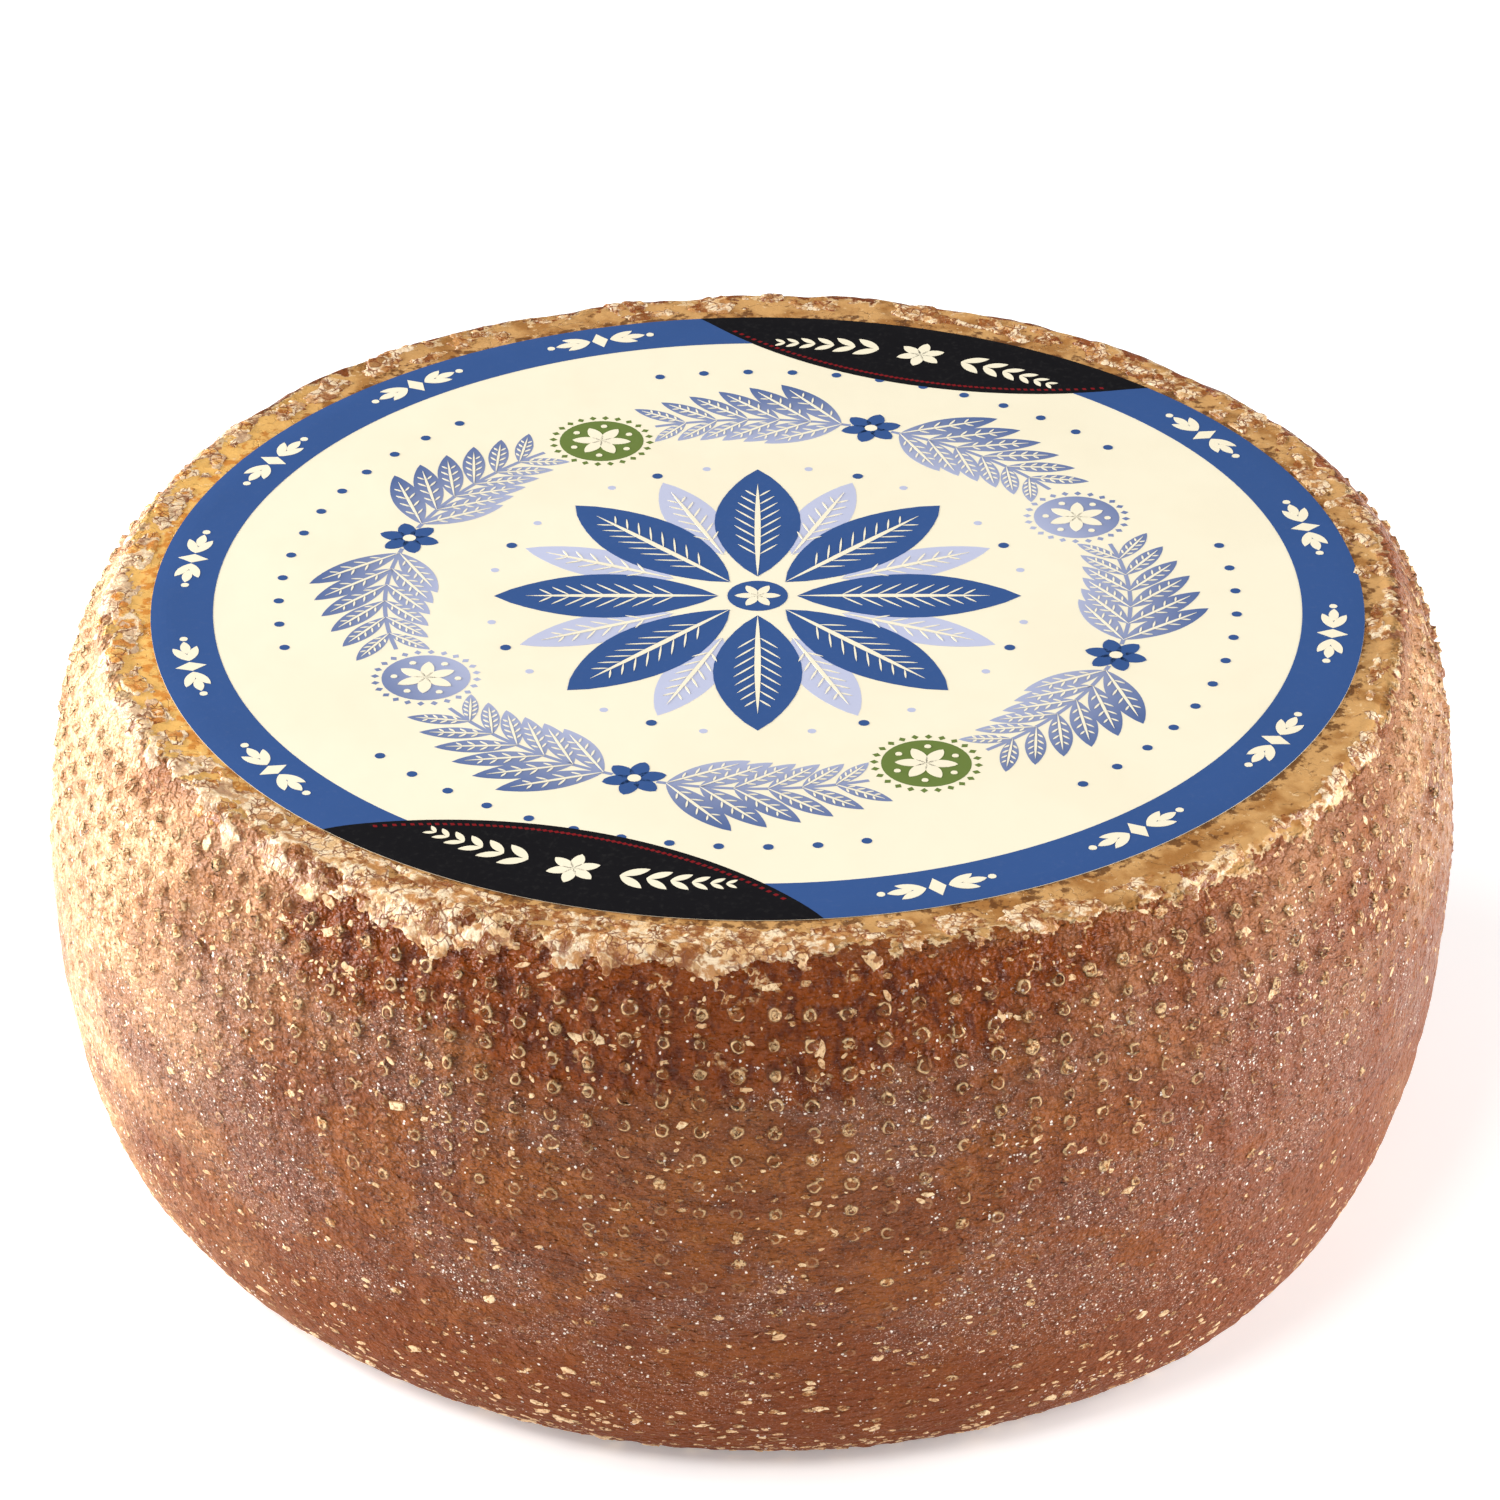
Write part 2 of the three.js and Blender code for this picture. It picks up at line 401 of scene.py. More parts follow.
def closing_fan(first, columns, middle, downwards):
    """Triangles from a ring of points to a middle point, facing up or down."""
    column = np.arange(columns)
    here, following = first + column, first + (column + 1) % columns
    pair = (following, here) if downwards else (here, following)
    return np.stack([np.full(columns, middle), *pair], axis=-1)


def new_mesh(name, points, face_groups, smooth_faces=True):
    """A mesh from whole arrays: the points, and groups of faces with as many corners each."""
    corners = np.concatenate([group.ravel() for group in face_groups])
    sizes = np.concatenate([np.full(len(group), group.shape[1]) for group in face_groups])
    mesh = bpy.data.meshes.new(name)
    mesh.vertices.add(len(points))
    mesh.vertices.foreach_set("co", np.ascontiguousarray(points, dtype=np.float32).ravel())
    mesh.loops.add(len(corners))
    mesh.loops.foreach_set("vertex_index", corners.astype(np.int32))
    mesh.polygons.add(len(sizes))
    mesh.polygons.foreach_set("loop_start", (np.cumsum(sizes) - sizes).astype(np.int32))
    mesh.polygons.foreach_set("use_smooth", np.full(len(sizes), smooth_faces))
    mesh.update(calc_edges=True)
    if mesh.validate():
        raise RuntimeError(f"the mesh of {name} had broken faces")
    return mesh


def give_numbers(mesh, name, kind, domain, values):
    """Stores a named attribute on a mesh."""
    made = mesh.attributes.new(name, kind, domain)
    field = "vector" if kind == "FLOAT_VECTOR" else "value"
    made.data.foreach_set(field, np.ascontiguousarray(values, dtype=np.float32).ravel())


def add_piece(name, mesh, material, slot, *nodes):
    """Puts a finished mesh in the scene, on the wheel's body, in place of the solids that it stands for."""
    mesh.materials.append(material)
    piece = bpy.data.objects.new(name, mesh)
    bpy.context.collection.objects.link(piece)
    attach(piece, "root")
    if nodes:
        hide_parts(*nodes)
    return piece


# Where the rind's stains and pale stretches lie

def near_angle(angle, facing, width):
    """1 in a direction, falling off to 0 by a cosine over the width, all in degrees."""
    off = np.abs((np.degrees(angle) - facing + 180) % 360 - 180)
    return 0.5 + 0.5 * np.cos(np.pi * np.clip(off / width, 0, 1))


def ledge_reach(angle):
    """How far down the outline the honey-coloured ledge reaches: over the shoulder on the right, less elsewhere."""
    return 1 * MM + 5 * MM * near_angle(angle, -36, 46) + 1.5 * MM * near_angle(angle, 172, 50)


def amber_stain(angle, down):
    """How strongly the rind under the shoulder is stained a glossy dark amber, from 0 to 1."""
    band = smooth(2 * MM, 7 * MM, down) * (1 - smooth(17 * MM, 40 * MM, down))
    patches = 0.5 + 0.9 * rough_waves(angle, down, (42 * MM, 18 * MM), 41, 3)
    front = near_angle(angle, -98, 48) + 0.35 * near_angle(angle, 120, 60)
    elsewhere = 0.22 - 0.2 * near_angle(angle, -170, 80)
    return np.clip(band * (elsewhere * patches + front * (0.7 + 0.5 * patches)), 0, 1)


def dusty_haze(angle, down):
    """How much pale dust lies on the rind, from 0 to 1."""
    clouds = rough_waves(angle, down, (46 * MM, 34 * MM), 51, 4)
    sides = 0.35 * near_angle(angle, -160, 60) + 0.3 * near_angle(angle, -50, 60)
    return np.clip(0.3 + sides + 0.9 * clouds, 0, 1) * smooth(12 * MM, 30 * MM, down)


def pale_bloom_and_left_light(angle, down):
    """How much of the rind is covered by dried pale patches, from 0 to 1: most on the left of the shoulder, some in the
    upper rows of nubs and along the base. The same share paints the rind paler, most on the left, partly for the bloom
    and partly as painted sheen from the left light."""
    clouds = rough_waves(angle, down, (34 * MM, 20 * MM), 55, 3)
    shoulder = smooth(3 * MM, 9 * MM, down) * (1 - smooth(24 * MM, 64 * MM, down))
    left = near_angle(angle, -176, 60)
    right = near_angle(angle, -12, 48)
    low = smooth(50 * MM, 115 * MM, down)
    level = 0.08 + 0.08 * shoulder + left * (0.6 + 0.1 * shoulder - 0.16 * low)
    level = level + 0.16 * right * (0.8 + shoulder)
    return np.clip(level * (1 + 0.6 * clouds), 0, 1)


def flake_density(angle, down):
    """How thickly the loose flakes lie, from 0 to 1: in clusters, most of them near the base and among the upper rows
    of nubs."""
    low = 0.42 * smooth(92 * MM, 132 * MM, down) + 0.12 * near_angle(angle, -172, 46)
    high = smooth(6 * MM, 11 * MM, down) * (1 - smooth(26 * MM, 58 * MM, down))
    sides = 0.2 + 0.5 * near_angle(angle, -152, 50) + 0.3 * near_angle(angle, -15, 50)
    clusters = smooth(-0.05, 0.5, rough_waves(angle, down, (24 * MM, 15 * MM), 81, 3))
    middle = 0.07 * near_angle(angle, -105, 60) * smooth(30 * MM, 50 * MM, down)
    return np.clip((0.03 + low + middle + 0.7 * high * sides) * (0.25 + 0.9 * clusters), 0, 1)


# Materials

def paint(red, green, blue):
    """A colour given as a screen shows it, from 0 to 255, as linear light."""
    share = np.array([red, green, blue]) / 255
    linear = np.where(share <= 0.04045, share / 12.92, ((share + 0.055) / 1.055) ** 2.4)
    return tuple(float(value) for value in linear)


class Finish:
    """A material's nodes, added by short calls. Each value is a number, a colour, or an output of another node."""

    def __init__(self, name):
        self.material = bpy.data.materials.new(name)
        self.material.use_nodes = True
        self.nodes = self.material.node_tree.nodes
        self.links = self.material.node_tree.links
        self.shader = self.nodes["Principled BSDF"]

    def put(self, socket, value):
        """Links an output to a socket, or sets the socket's value."""
        if isinstance(value, bpy.types.NodeSocket):
            self.links.new(value, socket)
        elif isinstance(value, (tuple, list)) and len(value) == 3 and socket.type == "RGBA":
            socket.default_value = (*value, 1)
        else:
            socket.default_value = value

    def add(self, kind, settings, values, output=0):
        """Adds a node, with its settings and its inputs' values, and returns one of its outputs."""
        node = self.nodes.new(kind)
        for name, value in settings.items():
            setattr(node, name, value)
        for key, value in values.items():
            self.put(node.inputs[key], value)
        return node.outputs[output]

    def math(self, operation, first, second=0.0, third=0.0):
        return self.add("ShaderNodeMath", {"operation": operation}, {0: first, 1: second, 2: third})

    def times(self, first, second):
        return self.math("MULTIPLY", first, second)

    def plus(self, first, second):
        return self.math("ADD", first, second)

    def less(self, first, second):
        return self.math("SUBTRACT", first, second)

    def opposite(self, value):
        return self.math("SUBTRACT", 1.0, value)

    def attribute(self, name, output="Fac"):
        return self.add("ShaderNodeAttribute", {"attribute_name": name}, {}, output)

    def millimetres(self, stretch=(1, 1, 1)):
        """The place on the piece in millimetres, each axis times its stretch."""
        place = self.add("ShaderNodeTexCoord", {}, {}, "Object")
        scale = tuple(share / MM for share in stretch)
        return self.add("ShaderNodeVectorMath", {"operation": "MULTIPLY"}, {0: place, 1: scale})

    def noise(self, place, size, detail=3.0, roughness=0.55, distortion=0.0, output=0):
        """Cloudy noise from 0 to 1, whose largest clouds are about the size in millimetres."""
        values = {"Vector": place, "Scale": 1 / size, "Detail": detail, "Roughness": roughness}
        return self.add("ShaderNodeTexNoise", {}, {**values, "Distortion": distortion}, output)

    def cells(self, place, size, output="Distance", feature="F1", randomness=1.0):
        """Cells about the size in millimetres: the distance to a cell's middle or edge in sizes, or its own colour."""
        values = {"Vector": place, "Scale": 1 / size, "Randomness": randomness}
        return self.add("ShaderNodeTexVoronoi", {"feature": feature}, values, output)

    def step(self, value, low, high, start=0.0, end=1.0):
        """Goes smoothly from start to end as the value goes from low to high."""
        values = {"Value": value, "From Min": low, "From Max": high, "To Min": start, "To Max": end}
        return self.add("ShaderNodeMapRange", {"interpolation_type": "SMOOTHSTEP"}, values)

    def mix(self, share, first, second, blend="MIX"):
        """A colour between two others."""
        settings = {"data_type": "RGBA", "blend_type": blend}
        return self.add("ShaderNodeMix", settings, {0: share, 6: first, 7: second}, 2)

    def blend(self, share, first, second):
        """A number between two others."""
        return self.add("ShaderNodeMix", {"data_type": "FLOAT"}, {0: share, 2: first, 3: second})

    def parts(self, vector):
        """The three parts of a vector."""
        split = self.nodes.new("ShaderNodeSeparateXYZ")
        self.links.new(vector, split.inputs[0])
        return split.outputs

    def wander(self, place, size, reach):
        """The place moved about by noise, to break up outlines."""
        noise = self.noise(place, size, 1.0, output="Color")
        centred = self.add("ShaderNodeVectorMath", {"operation": "SUBTRACT"}, {0: noise, 1: (0.5, 0.5, 0.5)})
        moved = self.add("ShaderNodeVectorMath", {"operation": "SCALE"}, {0: centred, "Scale": 2 * reach})
        return self.add("ShaderNodeVectorMath", {"operation": "ADD"}, {0: place, 1: moved})

    def bump(self, height, depth, normal=None):
        """The surface's direction, tilted by a height from 0 to 1 that is worth the depth in millimetres."""
        values = {"Height": height, "Distance": depth * MM}
        if normal is not None:
            values["Normal"] = normal
        return self.add("ShaderNodeBump", {}, values)

    def finish(self, colour, roughness, normal=None, specular=0.5):
        """Links the looks to the shader and returns the material."""
        self.put(self.shader.inputs["Base Color"], colour)
        self.put(self.shader.inputs["Roughness"], roughness)
        self.put(self.shader.inputs["Specular IOR Level"], specular)
        if normal is not None:
            self.put(self.shader.inputs["Normal"], normal)
        return self.material


# The rind's colours
AMBER = paint(144, 78, 24)
RUSSET = paint(124, 62, 22)
DEEP_BROWN = paint(78, 35, 13)
AMBER_BROWN = paint(132, 60, 6)
DARK_AMBER = paint(90, 34, 5)
FOOT_BROWN = paint(122, 54, 4)
MAUVE = paint(124, 80, 66)
# painted shade inside the nubs' rims
HOLLOW_SHADE_BROWN = paint(116, 62, 28)
# paler rind on the left: partly dried bloom, partly painted sheen from the left light
PALLOR_AND_SHEEN = paint(220, 168, 122)
ROSE = paint(146, 80, 52)
FADED_BROWN = paint(164, 104, 62)
# painted glints: the fine pale sparks in the haze
PAINTED_GLINT = paint(232, 198, 176)
# white crystal specks, partly painted glints
CRYSTAL_AND_GLINT_WHITE = paint(255, 242, 228)
STRAW = paint(242, 202, 150)
OLIVE_STRAW = paint(176, 116, 60)
BLOOM = paint(228, 184, 134)
BLOOM_PALE = paint(248, 218, 172)
HONEY = paint(202, 154, 96)
HONEY_DARK = paint(164, 112, 58)
GOLD = paint(236, 184, 102)
UMBER = paint(96, 56, 26)
ORANGE = paint(206, 128, 48)
LACE = paint(236, 202, 154)
CRUST_WHITE = paint(250, 226, 190)
CRUST_PALE = paint(236, 194, 140)
CRUST_TAN = paint(194, 136, 78)
CRACK = paint(132, 68, 22)


def nub_shares(rind, place):
    """Where the nubs' sides, rims and caps lie, with a painted shadow round each nub's foot and painted shade in its
    hollow, from the distance to each nub's middle. Noise shakes the outlines, breaks the rims into arcs and the caps
    into scraps."""
    nub_place = rind.add("ShaderNodeUVMap", {"uv_map": "nub"}, {})
    shake = rind.noise(place, 1.7, 1.0, output="Color")
    shake = rind.add("ShaderNodeVectorMath", {"operation": "SUBTRACT"}, {0: shake, 1: (0.5, 0.5, 0.5)})
    nub_place = rind.add("ShaderNodeVectorMath", {"operation": "ADD"}, {0: nub_place, 1: shake})
    flat = rind.add("ShaderNodeVectorMath", {"operation": "MULTIPLY"}, {0: nub_place, 1: (1, 1, 0)})
    reach = rind.add("ShaderNodeVectorMath", {"operation": "LENGTH"}, {0: flat}, "Value")
    radius, rim_paleness, cap_paleness = rind.parts(rind.attribute("nub_look", "Vector"))
    from_rim = rind.less(reach, radius)
    bits = rind.noise(place, 0.9, 3.0, 0.6)
    broken = rind.step(rind.noise(place, 2.1, 2.0), 0.43, 0.54)
    side = rind.times(rim_paleness, rind.step(bits, 0.4, 0.6, 0.1, 0.7))
    side = rind.times(rind.step(from_rim, 0.7, 0.3), side)
    # painted shadow: a dark ring just outside each nub's rim, where its foot meets the rind
    foot_shadow = rind.times(rind.step(from_rim, 1.0, 0.5), rind.times(rind.step(from_rim, 0.2, 0.5), 0.55))
    foot_shadow = rind.times(foot_shadow, rind.step(rim_paleness, 0.0, 0.6))
    rim = rind.step(rind.math("ABSOLUTE", from_rim), 0.34, 0.14)
    rim = rind.times(rind.times(rim, rind.step(rim_paleness, 0.0, 0.7)), broken)
    # painted shade: darker brown inside each nub's rim, in its hollow
    hollow_shade = rind.times(rind.step(from_rim, -0.15, -0.45, 0.0, 0.65), rim_paleness)
    level = rind.plus(bits, rind.times(rind.less(cap_paleness, 0.5), 0.26))
    cap = rind.times(rind.step(level, 0.5, 0.57), rind.step(from_rim, 0.3, 0.0))
    cap = rind.times(cap, rind.step(cap_paleness, 0.02, 0.1))
    return side, foot_shadow, rim, hollow_shade, cap


def rind_ground(rind, place, laid, down, haze, bloom_and_left_light, stain):
    """The rind's colour: ambers and browns in bands round the wheel, fine creases darkened as painted shade in them,
    mauve haze full of fine pale sparks that are painted glints, a paler tone where the bloom lies that is partly dried
    bloom and partly painted sheen from the left light, and stains. Returns the colour and the shares of the shaded
    creases, the haze and the stain."""
    tone = rind.step(rind.noise(laid, 17, 3.0, 0.58), 0.4, 0.6)
    colour = rind.mix(tone, RUSSET, AMBER)
    patch = rind.step(rind.noise(laid, 4.5, 3.0, 0.6), 0.5, 0.7, 0.0, 0.5)
    colour = rind.mix(patch, colour, DEEP_BROWN)
    haze_noise = rind.times(rind.less(rind.noise(laid, 9, 3.0, 0.64), 0.5), 1.2)
    hazy = rind.step(rind.plus(haze_noise, rind.times(haze, 0.5)), 0.17, 0.42)
    hazy = rind.times(hazy, rind.step(down, 0.08, 0.125, 1.0, 0.45))
    dust = rind.step(rind.noise(place, 1.0, 3.0, 0.65), 0.36, 0.62, 0.15, 0.75)
    colour = rind.mix(rind.times(hazy, dust), colour, MAUVE)
    grain = rind.step(rind.noise(place, 1.5, 3.0, 0.6), 0.5, 0.34, 0.0, 0.35)
    colour = rind.mix(grain, colour, DEEP_BROWN)
    # painted shade: fine creases, darkened along their line as shade in them; the bump dents the same lines
    shaded_crease = rind.math("ABSOLUTE", rind.less(rind.noise(rind.millimetres((1, 1, 3.4)), 5.0, 2.0, 0.5), 0.5))
    shaded_crease = rind.times(rind.step(shaded_crease, 0.02, 0.004), rind.step(rind.noise(place, 4, 2.0), 0.44, 0.58))
    colour = rind.mix(rind.times(shaded_crease, 0.6), colour, DEEP_BROWN)
    colour = rind.mix(rind.step(down, 0.06, 0.12, 0.0, 0.75), colour, FOOT_BROWN)
    across = rind.parts(place)[0]
    colour = rind.mix(rind.step(across, 30, 120, 0.0, 0.5), colour, ROSE)
    # partly painted light: the rind turns paler where the bloom share is high, most on the left; partly dried bloom,
    # partly painted sheen from the left light
    colour = rind.mix(rind.step(bloom_and_left_light, 0.06, 0.8, 0.0, 0.88), colour, PALLOR_AND_SHEEN)

    stain_noise = rind.times(rind.less(rind.noise(place, 7, 3.0, 0.55), 0.5), 0.9)
    stained = rind.step(rind.plus(stain, stain_noise), 0.22, 0.5, 0.0, 0.95)
    streaks = rind.noise(rind.millimetres((1, 1, 0.4)), 2.4, 3.0, 0.55)
    stain_tone = rind.mix(rind.step(streaks, 0.44, 0.64), AMBER_BROWN, DARK_AMBER)
    colour = rind.mix(stained, colour, stain_tone)

    # painted glints: fine pale sparks, most in the haze, fewer on the stain
    glint_noise = rind.noise(place, 0.45, 2.0, 0.7)
    glint_share = rind.times(rind.step(glint_noise, 0.57, 0.67), rind.blend(hazy, 0.14, 0.8))
    glint_share = rind.times(glint_share, rind.blend(stained, 1.0, 0.4))
    colour = rind.mix(glint_share, colour, PAINTED_GLINT)
    return colour, shaded_crease, hazy, stained


def pale_marks(rind, place, laid, down, bloom_and_left_light, hazy):
    """Dried pale film, drips under the shoulder, chips and clusters of white specks that are partly painted glints.
    Returns each one's share, and that of the painted shadow along the film's and the chips' edges."""
    patches = rind.noise(rind.wander(place, 3, 1.0), 2.1, 4.0, 0.68)
    patches = rind.plus(patches, rind.times(rind.less(bloom_and_left_light, 0.5), 0.36))
    film = rind.step(patches, 0.55, 0.6, 0.0, 0.7)
    # painted shadow: a dark line just outside each patch of film
    film_edge_shadow = rind.times(rind.step(patches, 0.48, 0.54), rind.step(patches, 0.57, 0.54))

    high_band = rind.times(rind.step(down, 0.04, 0.014), rind.step(down, 0.002, 0.006))
    drip_line = rind.math("ABSOLUTE", rind.less(rind.noise(rind.wander(place, 5, 3.0), 7.5, 3.0, 0.6), 0.5))
    drip = rind.plus(drip_line, rind.times(rind.less(rind.noise(place, 0.9, 3.0, 0.7), 0.5), 0.09))
    drip = rind.times(rind.step(drip, 0.03, 0.01), rind.step(rind.noise(place, 7, 2.0), 0.58, 0.64))
    drip = rind.times(drip, high_band)

    chip_place = rind.wander(rind.wander(laid, 2.2, 1.0), 0.7, 0.4)
    chip_cell = rind.parts(rind.cells(chip_place, 3.0, "Color"))
    chip_reach = rind.times(rind.cells(chip_place, 3.0), 3.0)
    chance = rind.plus(rind.times(high_band, 0.22), rind.blend(bloom_and_left_light, 0.07, 0.4))
    chosen = rind.math("LESS_THAN", chip_cell[0], chance)
    chip_edge = rind.less(chip_reach, rind.blend(chip_cell[1], 0.25, 0.95))
    # painted shadow: a dark line round each chip
    chip_edge_shadow = rind.times(rind.step(chip_edge, 0.4, 0.15), chosen)
    chip = rind.times(rind.step(chip_edge, 0.14, -0.04), chosen)
    chip = rind.times(chip, rind.step(rind.noise(place, 0.6, 3.0, 0.7), 0.36, 0.5, 0.3, 1.0))

    # white crystal specks in clusters, partly painted glints
    speck_cell = rind.parts(rind.cells(place, 0.75, "Color"))
    cluster = rind.step(rind.noise(place, 9, 3.0, 0.6), 0.6, 0.68, 0.03, 0.6)
    cluster = rind.math("MAXIMUM", cluster, rind.times(hazy, 0.12))
    speck_size = rind.blend(speck_cell[1], 0.12, 0.45)
    speck_and_glint = rind.step(rind.less(rind.cells(rind.wander(place, 0.6, 0.25), 0.75), speck_size), 0.05, -0.05)
    speck_and_glint = rind.times(speck_and_glint, rind.math("LESS_THAN", speck_cell[0], cluster))
    speck_and_glint = rind.times(speck_and_glint, rind.step(down, 0.004, 0.02))
    return film, drip, chip, speck_and_glint, rind.math("MAXIMUM", film_edge_shadow, chip_edge_shadow)


def ledge_colour(rind, place):
    """The ledge round the label: smooth and honey-coloured, golden on the left, with umber stains along the label."""
    honey = rind.mix(rind.step(rind.noise(place, 9, 4.0, 0.55), 0.44, 0.64), HONEY, HONEY_DARK)
    across = rind.parts(place)[0]
    left = rind.step(across, -80, -120)
    honey = rind.mix(rind.times(left, 0.9), honey, GOLD)
    flat = rind.add("ShaderNodeVectorMath", {"operation": "MULTIPLY"}, {0: place, 1: (1, 1, 0)})
    reach = rind.add("ShaderNodeVectorMath", {"operation": "LENGTH"}, {0: flat}, "Value")
    near_label = rind.step(reach, 132, 125.5, 0.0, 0.15)
    stain = rind.step(rind.plus(rind.noise(place, 3.4, 4.0, 0.62), near_label), 0.6, 0.7, 0.0, 0.85)
    honey = rind.mix(stain, honey, rind.mix(left, UMBER, ORANGE))
    pale = rind.step(rind.noise(place, 2.2, 4.0, 0.66), 0.6, 0.68, 0.0, 0.6)
    return rind.mix(pale, honey, LACE)


def rind_material():
    """The rind: browns that run in bands round the wheel, amber stains, pale patches and drips, the nubs' rims and
    caps, white specks that are partly painted glints, painted shadow and shade round the nubs, the film and the chips,
    and the honey-coloured ledge round the label."""
    rind = Finish("rind")
    place = rind.millimetres()
    laid = rind.millimetres((1, 1, 1.7))
    down = rind.attribute("down")
    bloom_and_left_light = rind.attribute("bloom_and_left_light")
    haze = rind.attribute("haze")
    stain = rind.attribute("stain")
    colour, shaded_crease, hazy, stained = rind_ground(rind, place, laid, down, haze, bloom_and_left_light, stain)
    film, drip, chip, speck_and_glint, shade = pale_marks(rind, place, laid, down, bloom_and_left_light, hazy)
    fine = rind.noise(place, 1.0, 3.0, 0.65)
    pale_tone = rind.mix(rind.step(fine, 0.42, 0.56), BLOOM, BLOOM_PALE)
    straw_tone = rind.mix(rind.step(fine, 0.42, 0.56), OLIVE_STRAW, STRAW)
    faded = rind.step(bloom_and_left_light, 0.1, 0.6)
    # painted shadow along the edges of the film and the chips, paler where the rind is pale
    colour = rind.mix(rind.times(shade, 0.4), colour, rind.mix(faded, DEEP_BROWN, FADED_BROWN))
    colour = rind.mix(film, colour, pale_tone)
    colour = rind.mix(rind.times(drip, 0.85), colour, straw_tone)
    colour = rind.mix(rind.times(chip, 0.85), colour, straw_tone)

    side, foot_shadow, rim, hollow_shade, cap = nub_shares(rind, place)
    # painted shadow round each nub's foot, paler where the rind is pale
    colour = rind.mix(foot_shadow, colour, rind.mix(faded, DEEP_BROWN, FADED_BROWN))
    colour = rind.mix(rind.times(side, 0.6), colour, rind.mix(faded, OLIVE_STRAW, CRUST_TAN))
    # painted shade in each nub's hollow, paler where the rind is pale
    colour = rind.mix(hollow_shade, colour, rind.mix(faded, HOLLOW_SHADE_BROWN, FADED_BROWN))
    colour = rind.mix(rim, colour, STRAW)
    colour = rind.mix(rind.times(cap, 0.9), colour, straw_tone)
    # white specks, partly crystals and partly painted glints
    colour = rind.mix(rind.times(speck_and_glint, 0.9), colour, CRYSTAL_AND_GLINT_WHITE)

    ledge_noise = rind.times(rind.less(rind.noise(place, 5, 4.0, 0.62), 0.5), 16)
    ledge_down = rind.plus(rind.attribute("ledge"), ledge_noise)
    ledge = rind.step(ledge_down, 0.4, -0.4)
    ledge_line = rind.step(rind.math("ABSOLUTE", rind.less(ledge_down, 0.3)), 0.8, 0.3)
    ledge_line = rind.times(ledge_line, rind.step(rind.noise(place, 4, 3.0, 0.6), 0.42, 0.56))
    colour = rind.mix(ledge, colour, ledge_colour(rind, place))
    colour = rind.mix(rind.times(ledge_line, 0.85), colour, LACE)

    pale = rind.math("MAXIMUM", rind.math("MAXIMUM", chip, drip), rind.math("MAXIMUM", rim, cap))
    roughness = rind.blend(rind.noise(laid, 2.0, 3.0, 0.6), 0.16, 0.5)
    roughness = rind.blend(rind.step(down, 0.06, 0.11), roughness, 0.7)
    roughness = rind.blend(stained, roughness, 0.15)
    roughness = rind.blend(rind.times(ledge, 0.8), roughness, 0.26)
    roughness = rind.blend(rind.times(rind.math("MAXIMUM", pale, film), 0.5), roughness, 0.5)

    raised = rind.plus(rim, cap)
    on_side = rind.step(rind.attribute("ledge"), -2.0, 2.0, 0.15, 1.0)
    dent = rind.times(rind.noise(rind.millimetres((1, 1, 1.8)), 3.2, 2.0, 0.5), on_side)
    leathery = rind.plus(rind.cells(place, 1.1), rind.noise(laid, 1.5, 2.0, 0.6))
    leathery = rind.times(leathery, rind.times(on_side, 0.5))
    normal = rind.bump(dent, 2.2)
    normal = rind.bump(rind.less(leathery, rind.times(shaded_crease, 0.2)), 0.8, normal)
    normal = rind.bump(rind.times(rind.noise(place, 0.7, 2.0, 0.6), on_side), 0.3, normal)
    normal = rind.bump(raised, 0.3, normal)
    return rind.finish(colour, roughness, normal, 0.2)


